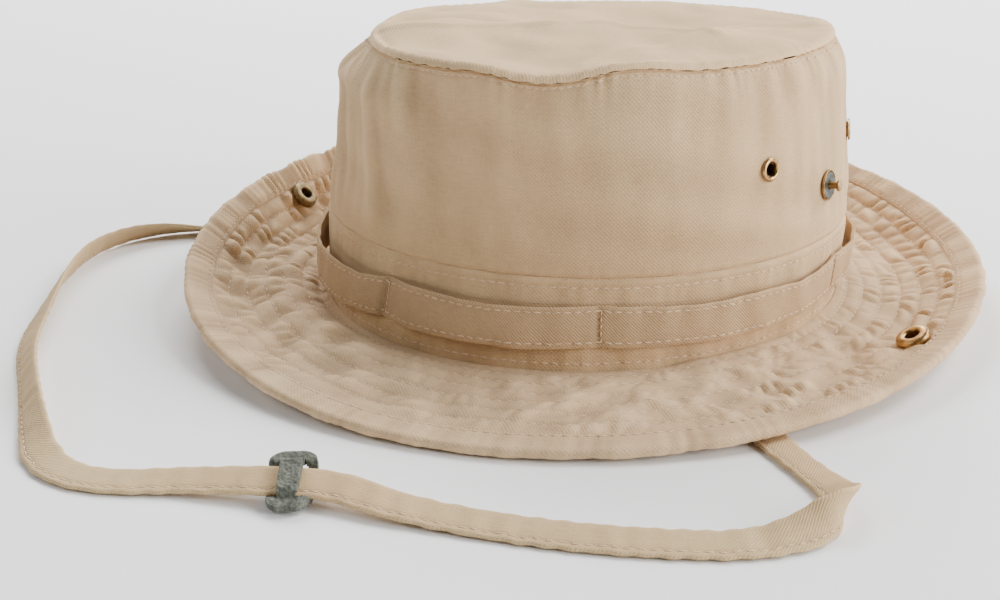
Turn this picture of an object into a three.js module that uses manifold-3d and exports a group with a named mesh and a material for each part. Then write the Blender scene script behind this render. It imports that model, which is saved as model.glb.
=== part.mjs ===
// Soft cotton bush hat with a chin strap, in millimetres, resting on the floor at z = 0.
// +X is the wearer's one side, -Y the front, azimuths are degrees from +X towards +Y.
import * as THREE from 'three';
import { mergeVertices } from 'three/addons/utils/BufferGeometryUtils.js';
import Module from 'manifold-3d';

const wasm = await Module();
wasm.setup();

// Ovals of the crown: at the brim joint, at the band seam and at the tip seam
const headWidth = 180;
const headLength = 196.6;
const seamWidth = 183;
const seamLength = 186;
const tipWidth = 163;
const tipLength = 185;

// Heights
const jointHeight = 3.2;
const bandHeight = 28.6;
const sideHeight = 59;
const seamHeight = jointHeight + bandHeight;
const tipHeight = seamHeight + sideHeight;

// Cloth
const crownWall = 1.6;
const brimWall = 1.6;
const clearance = 0.3;
const foldDepth = 8;

// Brim and its hem
const brimWidth = 51;
const hemWidth = 9.5;
const hemWall = 1;
const hemCore = 1;

// Loop band round the crown
const loopWidth = 12.4;
const loopWall = 1.3;
const loopHeight = 18;
const loopGap = 3.4;
const loopSag = 1.2;

// Top stitching ridge and hollows of the tip
const ridgeHeight = 4;
const hollowDepth = 4.5;

// Snap studs on the crown, snap sockets in the brim, eyelets in the crown
const snapTurn = 6.4;
const studHeight = 49;
const studRadius = 4.9;
const studPlate = 0.7;
const postRadius = 1.2;
const postLength = 3.4;
const headRadius = 1.85;
const headThickness = 1;
const washerThickness = 0.7;
const socketOut = 35.2;
const socketTurnRight = 3.6;
const socketTurnLeft = 2.5;
const socketRadius = 5.4;
const socketHeight = 2.6;
const socketSeat = 0.7;
const eyeletTurn = 21;
const eyeletHeight = 60;
const eyeletRadius = 3.7;
const eyeletBore = 4.4;
const socketBore = 4.4;
const barrelWall = 0.4;
const flangeThickness = 0.7;
const flangeSeat = 0.5;
const holeClearance = 0.3;

// Chin strap and its leather slider
const strapWidth = 10;
const strapThickness = 1.8;
const sliderAcross = 20.6;
const sliderAlong = 13;
const sliderThickness = 2.6;
const sliderBar = 4.2;
const sliderRim = 2.6;
const sliderWaist = 1.6;
const slotClearance = 0.5;

// Facets round the hat
const crownColumns = 72;
const brimColumns = 72;
const loopColumns = 84;
const roundSides = 12;

// Brim slope near the joint and near the hem, in degrees, and how the joint lies above the floor
const brimRows = [
  { azimuth: 0, inner: -8, outer: 27 },
  { azimuth: 30, inner: -5, outer: 31 },
  { azimuth: 60, inner: 4, outer: 33 },
  { azimuth: 90, inner: 13, outer: 35 },
  { azimuth: 120, inner: 16, outer: 41 },
  { azimuth: 150, inner: 10, outer: 49 },
  { azimuth: 180, inner: 2, outer: 50 },
  { azimuth: 210, inner: -1, outer: 37 },
  { azimuth: 240, inner: -1, outer: 16 },
  { azimuth: 270, inner: 0, outer: -0.5 },
  { azimuth: 300, inner: 1, outer: -1.5 },
  { azimuth: 330, inner: 0, outer: 8 },
];

// Soft rolls and waves of the brim: height is a share of foldDepth, across of brimWidth
const brimFolds = [
  { azimuth: 226, span: 36, across: 0.32, reach: 0.3, height: 0.8 },
  { azimuth: 262, span: 20, across: 0.3, reach: 0.28, height: 0.2 },
  { azimuth: 200, span: 12, across: 0.75, reach: 0.3, height: 0.12 },
  { azimuth: 176, span: 10, across: 0.6, reach: 0.4, height: -0.14 },
  { azimuth: 152, span: 12, across: 0.6, reach: 0.4, height: 0.14 },
  { azimuth: 128, span: 12, across: 0.6, reach: 0.4, height: -0.12 },
  { azimuth: 62, span: 12, across: 0.6, reach: 0.4, height: 0.14 },
  { azimuth: 38, span: 12, across: 0.6, reach: 0.4, height: -0.16 },
  { azimuth: 16, span: 10, across: 0.6, reach: 0.4, height: 0.12 },
  { azimuth: 292, span: 14, across: 0.62, reach: 0.3, height: 0.08 },
];

// Height of the tip seam round the crown, as a share of foldDepth
const tipSeamRows = [
  { azimuth: 0, shift: 0.05 },
  { azimuth: 30, shift: 0 },
  { azimuth: 60, shift: -0.35 },
  { azimuth: 90, shift: -0.5 },
  { azimuth: 120, shift: -0.55 },
  { azimuth: 150, shift: -0.4 },
  { azimuth: 180, shift: -0.1 },
  { azimuth: 210, shift: 0 },
  { azimuth: 240, shift: 0.1 },
  { azimuth: 270, shift: 0.1 },
  { azimuth: 300, shift: 0.1 },
  { azimuth: 330, shift: 0.05 },
];

// Dip of the tip seam at the front, as shares of foldDepth
const tipSeamDips = [
  { azimuth: 287, span: 13, height: -0.34 },
  { azimuth: 305, span: 11, height: 0.16 },
];

// How far the crown side has drawn in from the seam oval to the tip oval, by share of its height
const sideTaper = [
  { up: 0, taper: 0 },
  { up: 0.25, taper: 0.14 },
  { up: 0.5, taper: 0.3 },
  { up: 0.75, taper: 0.48 },
  { up: 0.9, taper: 0.68 },
  { up: 1, taper: 1 },
];

// Soft folds of the crown side: depth is a share of foldDepth, up and rise of sideHeight
const sideFolds = [
  { azimuth: 212, up: 1, span: 62, rise: 0.24, depth: -1.2 },
  { azimuth: 210, up: 0.62, span: 62, rise: 0.62, depth: -0.45 },
  { azimuth: 218, up: 0.35, span: 8, rise: 0.5, depth: -0.16 },
  { azimuth: 226, up: 0.5, span: 8, rise: 0.55, depth: 0.12 },
  { azimuth: 240, up: 0.3, span: 9, rise: 0.4, depth: -0.12 },
  { azimuth: 252, up: 0.6, span: 12, rise: 0.5, depth: 0.14 },
  { azimuth: 284, up: 0.86, span: 14, rise: 0.2, depth: -0.14 },
  { azimuth: 320, up: 0.5, span: 22, rise: 0.5, depth: 0.1 },
  { azimuth: 190, up: 0.75, span: 12, rise: 0.3, depth: -0.14 },
  { azimuth: 60, up: 0.5, span: 22, rise: 0.5, depth: -0.2 },
  { azimuth: 118, up: 0.6, span: 20, rise: 0.5, depth: 0.16 },
  { azimuth: 150, up: 0.4, span: 14, rise: 0.5, depth: -0.16 },
];

// Tacks that hold the loop band, and how far each loop between them stands off, as a share of loopGap
const loopTacks = [
  { azimuth: -2, bulge: 0.8, late: 1 },
  { azimuth: 58, bulge: 0.7, late: 1 },
  { azimuth: 118, bulge: 0.8, late: 1 },
  { azimuth: 178, bulge: 1, late: 2.2 },
  { azimuth: 255.5, bulge: 0.75, late: 0.8 },
  { azimuth: 298, bulge: 0.55, late: 1 },
];

// Where the strap runs out under the crown edge: the edge is lifted there, in degrees and millimetres
const strapGates = [
  { azimuth: 325.5, span: 15 },
  { azimuth: 177.5, span: 15 },
];
const gateLift = 2.6;
const brimLift = 1.1;

// Route of the strap's middle line over the floor, from the right side round the front to the left:
// lift is the height of its lower edge, lean the tilt of its flat side from lying
const strapRoute = [
  { x: 86.6, y: -2, lift: 0.4, lean: 90 },
  { x: 85, y: -12, lift: 0.4, lean: 96 },
  { x: 81, y: -22, lift: 0.3, lean: 122 },
  { x: 76, y: -31.5, lift: 0.1, lean: 155 },
  { x: 72.3, y: -41, lift: 0.05, lean: 175 },
  { x: 72.5, y: -51, lift: 0.05, lean: 178 },
  { x: 76.5, y: -61.5, lift: 0.05, lean: 178 },
  { x: 82.5, y: -71.5, lift: 0.05, lean: 178 },
  { x: 89.5, y: -81.5, lift: 0.05, lean: 178 },
  { x: 96.5, y: -90.5, lift: 0.05, lean: 178 },
  { x: 103.5, y: -98, lift: 0.05, lean: 177 },
  { x: 112.6, y: -105.6, lift: 0.05, lean: 181 },
  { x: 120, y: -111.8, lift: 0.05, lean: 178 },
  { x: 125.8, y: -117.8, lift: 0.05, lean: 165 },
  { x: 129.4, y: -123.4, lift: 0.05, lean: 136 },
  { x: 130.8, y: -129.2, lift: 0.05, lean: 100 },
  { x: 129.6, y: -135, lift: 0.05, lean: 64 },
  { x: 126.2, y: -140.8, lift: 0.05, lean: 34 },
  { x: 120.9, y: -146.8, lift: 0.05, lean: 16 },
  { x: 112.4, y: -153.6, lift: 0.05, lean: 9 },
  { x: 98, y: -161, lift: 0.05, lean: 9 },
  { x: 80, y: -168, lift: 0.05, lean: 9 },
  { x: 60, y: -173.4, lift: 0.1, lean: 8 },
  { x: 42, y: -177.2, lift: 0.7, lean: 8 },
  { x: 31.5, y: -179.1, lift: 1.4, lean: 11 },
  { x: 23.5, y: -179.8, lift: 1.9, lean: 15 },
  { x: 15.5, y: -181.3, lift: 2.2, lean: 16 },
  { x: 8.1, y: -184.2, lift: 2.3, lean: 16 },
  { x: 0.7, y: -187.1, lift: 2.2, lean: 16 },
  { x: -8, y: -190, lift: 1.5, lean: 14 },
  { x: -20.2, y: -194.4, lift: 0.5, lean: 11 },
  { x: -31, y: -199.8, lift: 0.1, lean: 8 },
  { x: -41.5, y: -203.4, lift: 0.05, lean: 6 },
  { x: -52, y: -203.6, lift: 0.05, lean: 7 },
  { x: -63, y: -199.6, lift: 0.05, lean: 16 },
  { x: -73, y: -192.4, lift: 0.05, lean: 34 },
  { x: -84.5, y: -183.2, lift: 0.05, lean: 47 },
  { x: -96.9, y: -173, lift: 0.05, lean: 52 },
  { x: -108, y: -163.6, lift: 0.05, lean: 50 },
  { x: -118.9, y: -153.4, lift: 0.05, lean: 42 },
  { x: -128.6, y: -142.4, lift: 0.05, lean: 38 },
  { x: -139.9, y: -127.4, lift: 0.05, lean: 45 },
  { x: -152, y: -110.6, lift: 0.05, lean: 54 },
  { x: -162, y: -94.6, lift: 0.05, lean: 62 },
  { x: -169, y: -80.6, lift: 0.05, lean: 62 },
  { x: -172.4, y: -66.6, lift: 0.05, lean: 56 },
  { x: -171.4, y: -53, lift: 0.05, lean: 49 },
  { x: -165.6, y: -41.4, lift: 0.05, lean: 38 },
  { x: -156, y: -32.4, lift: 0.05, lean: 24 },
  { x: -143, y: -23.6, lift: 0.05, lean: 8 },
  { x: -127, y: -15.6, lift: 0.05, lean: 2 },
  { x: -108.5, y: -7.6, lift: 0.05, lean: 1 },
  { x: -92.5, y: 2.5, lift: 0.05, lean: 1 },
  { x: -81.5, y: 14.5, lift: 0.05, lean: 4 },
  { x: -77, y: 26, lift: 0.1, lean: 22 },
  { x: -76.3, y: 37, lift: 0.3, lean: 56 },
  { x: -74.4, y: 46.5, lift: 0.4, lean: 84 },
  { x: -70.9, y: 54, lift: 0.4, lean: 90 },
];
const sliderPoint = 27;
const strapSteps = 66;

const khaki = 0xb09d86;
const khakiLight = 0xc3b097;
const brass = 0xac8c64;
const darkMetal = 0x5b5a50;
const leather = 0x7e7f76;

const radians = THREE.MathUtils.degToRad;

function material(color, roughness, metalness) {
  return new THREE.MeshStandardMaterial({ color, roughness, metalness });
}

// Smooth hump of height 1 that ends at distance 1 from its middle
function hump(x) {
  return Math.abs(x) < 1 ? (1 - x * x) ** 2 : 0;
}

function smooth(x) {
  const t = THREE.MathUtils.clamp(x, 0, 1);
  return t * t * (3 - 2 * t);
}

function turnBetween(a, b) {
  return ((a - b + 540) % 360) - 180;
}

// Cubic curve through four values
function cubic(p0, p1, p2, p3, t) {
  const slopeIn = (p2 - p0) / 2;
  const slopeOut = (p3 - p1) / 2;
  const a = 2 * p1 - 2 * p2 + slopeIn + slopeOut;
  const b = -3 * p1 + 3 * p2 - 2 * slopeIn - slopeOut;
  return ((a * t + b) * t + slopeIn) * t + p1;
}

// Value of one column of a table whose rows stand evenly round the hat
function roundTable(rows, column, azimuth) {
  const place = (((azimuth % 360) + 360) % 360) / (360 / rows.length);
  const i = Math.floor(place) % rows.length;
  const at = (k) => rows[(i + k + rows.length) % rows.length][column];
  return cubic(at(-1), at(0), at(1), at(2), place - Math.floor(place));
}

function foldSum(folds, azimuth, across, spread, height) {
  let sum = 0;
  for (const fold of folds) {
    const round = hump(turnBetween(azimuth, fold.azimuth) / fold.span);
    sum += fold[height] * round * (spread ? hump((across - fold[spread[0]]) / fold[spread[1]]) : 1);
  }
  return sum;
}

function gate(azimuth) {
  let open = 0;
  for (const row of strapGates) {
    const away = Math.abs(turnBetween(azimuth, row.azimuth)) / row.span;
    open = Math.max(open, 1 - smooth(2 * away - 1));
  }
  return open;
}

function ovalPoint(azimuth, halfX, halfY, z) {
  const c = Math.cos(radians(azimuth));
  const s = Math.sin(radians(azimuth));
  const r = 1 / Math.hypot(c / halfX, s / halfY);
  return new THREE.Vector3(r * c, r * s, z);
}

// Crown: base band up to the seam, side above it
function bandPoint(azimuth, z, out) {
  const up = smooth((z - jointHeight) / bandHeight);
  const halfX = THREE.MathUtils.lerp(headWidth, seamWidth, up) / 2;
  const halfY = THREE.MathUtils.lerp(headLength, seamLength, up) / 2;
  return ovalPoint(azimuth, halfX + out, halfY + out, z);
}

function tipSeamHeight(azimuth) {
  const shift = roundTable(tipSeamRows, 'shift', azimuth);
  return tipHeight + foldDepth * (shift + foldSum(tipSeamDips, azimuth, 0, null, 'height'));
}

function taperAt(up) {
  let k = 0;
  while (k < sideTaper.length - 2 && up > sideTaper[k + 1].up) {
    k += 1;
  }
  const low = sideTaper[k];
  const high = sideTaper[k + 1];
  return THREE.MathUtils.lerp(low.taper, high.taper, (up - low.up) / (high.up - low.up));
}

function sidePoint(azimuth, up, out) {
  const taper = taperAt(up);
  const fold = foldDepth * foldSum(sideFolds, azimuth, up, ['up', 'rise'], 'depth');
  const halfX = THREE.MathUtils.lerp(seamWidth, tipWidth, taper) / 2 + fold;
  const halfY = THREE.MathUtils.lerp(seamLength, tipLength, taper) / 2 + fold;
  const z = THREE.MathUtils.lerp(seamHeight, tipSeamHeight(azimuth), up);
  return ovalPoint(azimuth, halfX + out, halfY + out, z);
}

// Tip: a ridge near the front, hollows behind it, level with the side's edge all round
function tipPoint(azimuth, share, lift) {
  const rim = sidePoint(azimuth, 1, 0);
  const x = rim.x * share;
  const y = rim.y * share;
  const forward = (x * Math.cos(radians(285)) + y * Math.sin(radians(285))) / (tipLength / 2);
  const sideways = (x * Math.sin(radians(285)) - y * Math.cos(radians(285))) / (tipWidth / 2);
  const ridge = Math.exp(-(((forward - 0.38 - 0.14 * sideways * sideways) / 0.2) ** 2));
  const hollow = hump(Math.hypot((forward + 0.2) / 0.5, (sideways + 0.15) / 0.75));
  const fold = hump((sideways - 0.4 - 0.4 * forward) / 0.3) * hump((forward + 0.2) / 0.6);
  const relief = ridgeHeight * ridge - hollowDepth * hollow + 0.4 * hollowDepth * fold;
  const level = tipHeight + (rim.z - tipHeight) * share * share;
  return new THREE.Vector3(x, y, level + relief * (1 - share ** 6) + clearance + lift);
}

// Brim: how far out, how high and how steep its middle surface is at a share of its width
function brimCurve(azimuth, share) {
  const inner = radians(roundTable(brimRows, 'inner', azimuth));
  const outer = radians(roundTable(brimRows, 'outer', azimuth));
  const steps = 24;
  const step = (brimWidth * share) / steps;
  let reach = 0;
  let rise = 0;
  for (let k = 0; k < steps; k += 1) {
    const at = (share * (k + 0.5)) / steps;
    const slope = inner + (outer - inner) * smooth((at - 0.15) / 0.6);
    reach += Math.cos(slope) * step;
    rise += Math.sin(slope) * step;
  }
  rise += foldDepth * foldSum(brimFolds, azimuth, share, ['across', 'reach'], 'height');
  rise += brimLift * gate(azimuth) * (1 - smooth(1.6 * share));
  return { reach, rise };
}

function brimPoint(azimuth, share, lift) {
  const here = brimCurve(azimuth, share);
  const before = brimCurve(azimuth, share - 0.01);
  const after = brimCurve(azimuth, share + 0.01);
  const slope = Math.atan2(after.rise - before.rise, after.reach - before.reach);
  const out = clearance + here.reach - Math.sin(slope) * lift;
  const z = jointHeight + here.rise + Math.cos(slope) * lift;
  return ovalPoint(azimuth, headWidth / 2 + out, headLength / 2 + out, z);
}

function faceOut(geometry) {
  const p = geometry.attributes.position;
  const index = geometry.index.array;
  const a = new THREE.Vector3();
  const b = new THREE.Vector3();
  const c = new THREE.Vector3();
  let volume = 0;
  for (let k = 0; k < index.length; k += 3) {
    a.fromBufferAttribute(p, index[k]);
    b.fromBufferAttribute(p, index[k + 1]);
    c.fromBufferAttribute(p, index[k + 2]);
    volume += a.dot(b.cross(c));
  }
  if (volume < 0) {
    for (let k = 0; k < index.length; k += 3) {
      [index[k + 1], index[k + 2]] = [index[k + 2], index[k + 1]];
    }
  }
  return geometry;
}

function geometryOf(points, index) {
  const geometry = new THREE.BufferGeometry().setFromPoints(points);
  geometry.setIndex(index);
  return faceOut(geometry);
}

// Closed wall that runs round the hat: a closed section of corners at each column
function ringSolid(columns, section) {
  const points = [];
  const index = [];
  let corners = 0;
  for (let i = 0; i < columns; i += 1) {
    const ring = section((360 * i) / columns);
    corners = ring.length;
    points.push(...ring);
  }
  for (let i = 0; i < columns; i += 1) {
    for (let j = 0; j < corners; j += 1) {
      const a = i * corners + j;
      const b = i * corners + ((j + 1) % corners);
      const c = ((i + 1) % columns) * corners + j;
      const d = ((i + 1) % columns) * corners + ((j + 1) % corners);
      index.push(a, b, d, a, d, c);
    }
  }
  return geometryOf(points, index);
}

// Closed skin of a disc: rings from the middle of the top over the rim to the middle underneath
function discSolid(columns, rings, top, bottom) {
  const points = [top];
  const index = [];
  for (const ring of rings) {
    for (let i = 0; i < columns; i += 1) {
      points.push(ring((360 * i) / columns));
    }
  }
  points.push(bottom);
  const last = points.length - 1;
  for (let i = 0; i < columns; i += 1) {
    const next = (i + 1) % columns;
    index.push(0, 1 + next, 1 + i);
    for (let r = 0; r < rings.length - 1; r += 1) {
      const a = 1 + r * columns;
      const b = a + columns;
      index.push(a + i, a + next, b + next, a + i, b + next, b + i);
    }
    index.push(last, last - columns + i, last - columns + next);
  }
  return geometryOf(points, index);
}

// Closed strip with flat ends, from sections with the same corners
function stripSolid(sections) {
  const corners = sections[0].length;
  const index = [];
  for (let i = 0; i < sections.length - 1; i += 1) {
    for (let j = 0; j < corners; j += 1) {
      const a = i * corners + j;
      const b = i * corners + ((j + 1) % corners);
      index.push(a, b, b + corners, a, b + corners, a + corners);
    }
  }
  const end = (sections.length - 1) * corners;
  for (let j = 1; j < corners - 1; j += 1) {
    index.push(0, j + 1, j, end, end + j, end + j + 1);
  }
  return geometryOf(sections.flat(), index);
}

function toSolid(geometry) {
  const bare = geometry.clone();
  bare.deleteAttribute('normal');
  bare.deleteAttribute('uv');
  const merged = mergeVertices(bare, 1e-5);
  const vertProperties = new Float32Array(merged.attributes.position.array);
  const triVerts = new Uint32Array(merged.index.array);
  return new wasm.Manifold(new wasm.Mesh({ numProp: 3, vertProperties, triVerts }));
}

function fromSolid(solid) {
  const mesh = solid.getMesh();
  const geometry = new THREE.BufferGeometry();
  geometry.setAttribute('position', new THREE.BufferAttribute(new Float32Array(mesh.vertProperties), 3));
  geometry.setIndex(Array.from(mesh.triVerts));
  return geometry;
}

function drill(geometry, holes) {
  let solid = toSolid(geometry);
  for (const hole of holes) {
    solid = solid.subtract(toSolid(hole));
  }
  return fromSolid(solid);
}

// Seat on a surface: its point and the turn that lays +Y along its outward normal
function seatOn(surface, u, v, stepU, stepV) {
  const point = surface(u, v);
  const alongU = surface(u + stepU, v).sub(surface(u - stepU, v));
  const alongV = surface(u, v + stepV).sub(surface(u, v - stepV));
  const normal = alongU.cross(alongV).normalize();
  const turn = new THREE.Quaternion().setFromUnitVectors(new THREE.Vector3(0, 1, 0), normal);
  return { point, turn };
}

function placeOn(mesh, seat) {
  mesh.position.copy(seat.point);
  mesh.quaternion.copy(seat.turn);
  return mesh;
}

function holeAt(seat, radius) {
  const geometry = new THREE.CylinderGeometry(radius, radius, 12, roundSides);
  geometry.applyQuaternion(seat.turn);
  return geometry.translate(seat.point.x, seat.point.y, seat.point.z);
}

// Turned solid from corner pairs of radius and height along the seat's normal
function turned(corners) {
  const profile = corners.map(([r, h]) => new THREE.Vector2(r, h));
  const geometry = new THREE.LatheGeometry([...profile, profile[0].clone()], roundSides);
  geometry.deleteAttribute('normal');
  geometry.deleteAttribute('uv');
  return faceOut(dropFlat(mergeVertices(geometry, 1e-4)));
}

// Faces that shrank to a line on the axis are left out
function dropFlat(geometry) {
  const old = geometry.index.array;
  const kept = [];
  for (let k = 0; k < old.length; k += 3) {
    const [a, b, c] = [old[k], old[k + 1], old[k + 2]];
    if (a !== b && b !== c && a !== c) {
      kept.push(a, b, c);
    }
  }
  geometry.setIndex(kept);
  return geometry;
}

const hat = new THREE.Group();

function add(name, geometry, look) {
  const mesh = new THREE.Mesh(geometry, look);
  mesh.name = name;
  hat.add(mesh);
  return mesh;
}

// Seats of the metal pieces, the right side first
const sides = [
  { name: 'right', azimuth: -snapTurn, forward: -1, socketTurn: -socketTurnRight },
  { name: 'left', azimuth: 180 + snapTurn, forward: 1, socketTurn: -socketTurnLeft },
];
const sideUp = (z) => (z - seamHeight) / sideHeight;
const onSide = (azimuth, up) => sidePoint(azimuth, up, 0);
const onBrim = (azimuth, share) => brimPoint(azimuth, share, brimWall / 2);

function studSeat(side) {
  return seatOn(onSide, side.azimuth, sideUp(studHeight), 1, 0.02);
}

function eyeletSeat(azimuth) {
  return seatOn(onSide, azimuth, sideUp(eyeletHeight), 1, 0.02);
}

function socketSeatOf(side) {
  const seat = seatOn(onBrim, side.azimuth + side.socketTurn, socketOut / brimWidth, 1, 0.02);
  const up = new THREE.Vector3(0, 1, 0).applyQuaternion(seat.turn);
  if (up.z < 0) {
    seat.turn.setFromUnitVectors(new THREE.Vector3(0, 1, 0), up.negate());
  }
  return seat;
}

const eyelets = [];
for (const side of sides) {
  eyelets.push({ name: `eyelet_${side.name}_front`, azimuth: side.azimuth + side.forward * eyeletTurn });
  eyelets.push({ name: `eyelet_${side.name}_rear`, azimuth: side.azimuth - side.forward * eyeletTurn });
}
const barrelRadius = eyeletBore / 2 + barrelWall;
const socketBarrel = socketBore / 2 + barrelWall;

function addTip() {
  const shares = [0.3, 0.58, 0.78, 0.92];
  const rings = shares.map((share) => (azimuth) => tipPoint(azimuth, share, crownWall));
  rings.push((azimuth) => tipPoint(azimuth, 1, crownWall * 0.6));
  rings.push((azimuth) => tipPoint(azimuth, 1, 0));
  for (const share of [...shares].reverse()) {
    rings.push((azimuth) => tipPoint(azimuth, share, 0));
  }
  const top = tipPoint(0, 0, crownWall);
  const bottom = tipPoint(0, 0, 0);
  add('crown_tip', discSolid(crownColumns, rings, top, bottom), material(khakiLight, 0.9, 0));
}

function addSide() {
  const low = clearance / 2 / sideHeight;
  const ups = [low, 0.18, 0.38, 0.58, 0.78, 0.91, 1];
  const insideUps = [1, 0.91, 0.7, 0.35, low];
  const wall = ringSolid(crownColumns, (azimuth) => {
    const outside = ups.map((up) => sidePoint(azimuth, up, 0));
    const inside = insideUps.map((up) => sidePoint(azimuth, up, -crownWall));
    return [...outside, ...inside];
  });
  const holes = eyelets.map((eyelet) => holeAt(eyeletSeat(eyelet.azimuth), barrelRadius + holeClearance));
  for (const side of sides) {
    holes.push(holeAt(studSeat(side), postRadius + holeClearance));
  }
  add('crown_side', drill(wall, holes), material(khaki, 0.9, 0));
}

function addBaseBand() {
  const top = seamHeight - clearance / 2;
  const wall = ringSolid(crownColumns, (azimuth) => {
    const foot = gateLift * gate(azimuth);
    const levels = [foot, foot + (top - foot) * 0.45, top];
    const outside = levels.map((z) => bandPoint(azimuth, z, 0));
    const inside = [...levels].reverse().map((z) => bandPoint(azimuth, z, -crownWall));
    return [...outside, ...inside];
  });
  add('crown_base_band', wall, material(khaki, 0.9, 0));
}

// How far the loop band stands off the crown: nothing at a tack, most between two tacks
function standOff(azimuth) {
  const turns = loopTacks.map((tack) => (((azimuth - tack.azimuth) % 360) + 360) % 360);
  const from = Math.min(...turns);
  const k = turns.indexOf(from);
  const tack = loopTacks[k];
  const next = loopTacks[(k + 1) % loopTacks.length];
  const span = (next.azimuth - tack.azimuth + 360) % 360;
  const along = from / span;
  return tack.bulge * Math.sin(Math.PI * along ** tack.late) ** 0.8;
}

function addLoopBand() {
  const band = ringSolid(loopColumns, (azimuth) => {
    const off = standOff(azimuth);
    const middle = loopHeight - loopSag * off;
    const low = middle - loopWidth / 2;
    const high = middle + loopWidth / 2;
    const out = clearance + loopGap * off;
    return [
      bandPoint(azimuth, low, out + loopWall),
      bandPoint(azimuth, middle, out + loopWall),
      bandPoint(azimuth, high, out + loopWall),
      bandPoint(azimuth, high, out),
      bandPoint(azimuth, low, out),
    ];
  });
  add('loop_band', band, material(khaki, 0.9, 0));
}

function addBrim() {
  const hemStart = 1 - (hemWidth + clearance) / brimWidth;
  const shares = [0, 0.16, 0.32, 0.48, 0.64, hemStart];
  const under = [hemStart, 0.56, 0.3, 0];
  const tongue = 1 - (hemWall + clearance) / brimWidth;
  const wall = ringSolid(brimColumns, (azimuth) => [
    ...shares.map((share) => brimPoint(azimuth, share, brimWall / 2)),
    brimPoint(azimuth, hemStart, hemCore / 2),
    brimPoint(azimuth, tongue, hemCore / 2),
    brimPoint(azimuth, tongue, -hemCore / 2),
    brimPoint(azimuth, hemStart, -hemCore / 2),
    ...under.map((share) => brimPoint(azimuth, share, -brimWall / 2)),
  ]);
  const holes = sides.map((side) => holeAt(socketSeatOf(side), socketBarrel + holeClearance));
  add('brim', drill(wall, holes), material(khaki, 0.9, 0));
}

function addHem() {
  const start = 1 - hemWidth / brimWidth;
  const inner = hemCore / 2 + clearance;
  const outer = inner + hemWall;
  const edge = 1 - hemWall / brimWidth;
  const middle = (start + edge) / 2;
  const wall = ringSolid(brimColumns, (azimuth) => [
    brimPoint(azimuth, start, inner),
    brimPoint(azimuth, start, outer),
    brimPoint(azimuth, middle, outer),
    brimPoint(azimuth, edge, outer),
    brimPoint(azimuth, 1, outer * 0.4),
    brimPoint(azimuth, 1, -outer * 0.4),
    brimPoint(azimuth, edge, -outer),
    brimPoint(azimuth, start, -outer),
    brimPoint(azimuth, start, -inner),
    brimPoint(azimuth, edge, -inner),
    brimPoint(azimuth, edge, inner),
  ]);
  add('brim_binding', wall, material(khakiLight, 0.9, 0));
}

function addEyelets() {
  const back = -crownWall - flangeSeat;
  const shape = [
    [eyeletBore / 2, back - flangeThickness],
    [eyeletRadius, back - flangeThickness],
    [eyeletRadius, back],
    [barrelRadius, back],
    [barrelRadius, flangeSeat],
    [eyeletRadius, flangeSeat],
    [eyeletRadius - flangeThickness, flangeSeat + flangeThickness],
    [eyeletBore / 2, flangeSeat + flangeThickness / 2],
  ];
  for (const eyelet of eyelets) {
    placeOn(add(eyelet.name, turned(shape), material(brass, 0.4, 0.9)), eyeletSeat(eyelet.azimuth));
  }
}

function addStuds() {
  const back = -crownWall - flangeSeat;
  const face = flangeSeat + studPlate;
  const stem = face + postLength - headThickness;
  const stud = [
    [0, back - flangeThickness],
    [studRadius * 0.8, back - flangeThickness],
    [studRadius * 0.8, back],
    [postRadius, back],
    [postRadius, flangeSeat],
    [studRadius, flangeSeat],
    [studRadius, face + washerThickness],
    [studRadius - barrelWall, face + washerThickness],
    [studRadius - barrelWall, face],
    [postRadius, face],
    [postRadius, stem],
    [headRadius, stem],
    [headRadius, stem + headThickness],
    [0, stem + headThickness],
  ];
  const inner = postRadius + clearance;
  const outer = studRadius - barrelWall - clearance;
  const washer = [
    [inner, face + clearance],
    [outer, face + clearance],
    [outer, face + clearance + washerThickness / 2],
    [inner, face + clearance + washerThickness],
  ];
  for (const side of sides) {
    const seat = studSeat(side);
    placeOn(add(`snap_stud_${side.name}`, turned(stud), material(brass, 0.4, 0.9)), seat);
    placeOn(add(`snap_washer_${side.name}`, turned(washer), material(darkMetal, 0.5, 0.8)), seat);
  }
}

function addSockets() {
  const back = -brimWall - socketSeat;
  const top = socketSeat + socketHeight;
  const shape = [
    [socketBore / 2, back - flangeThickness],
    [socketRadius, back - flangeThickness],
    [socketRadius, back],
    [socketBarrel, back],
    [socketBarrel, socketSeat],
    [socketRadius, socketSeat],
    [socketRadius, top - flangeThickness],
    [socketRadius - flangeThickness, top],
    [socketBore / 2 + barrelWall, top],
    [socketBore / 2, top - flangeThickness],
  ];
  for (const side of sides) {
    const name = `snap_socket_${side.name}`;
    placeOn(add(name, turned(shape), material(brass, 0.45, 0.9)), socketSeatOf(side));
  }
}

// Strap: place, direction and tilt of its section at a share of the route
const strapLine = new THREE.CatmullRomCurve3(
  strapRoute.map((row) => {
    const lean = radians(row.lean);
    const rise = (strapWidth / 2) * Math.sin(lean) + (strapThickness / 2) * Math.abs(Math.cos(lean));
    return new THREE.Vector3(row.x, row.y, row.lift + rise);
  }),
  false,
  'centripetal',
);

function leanAt(place) {
  const k = Math.min(Math.floor(place), strapRoute.length - 2);
  const at = (i) => strapRoute[THREE.MathUtils.clamp(i, 0, strapRoute.length - 1)].lean;
  return radians(cubic(at(k - 1), at(k), at(k + 1), at(k + 2), place - k));
}

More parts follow.
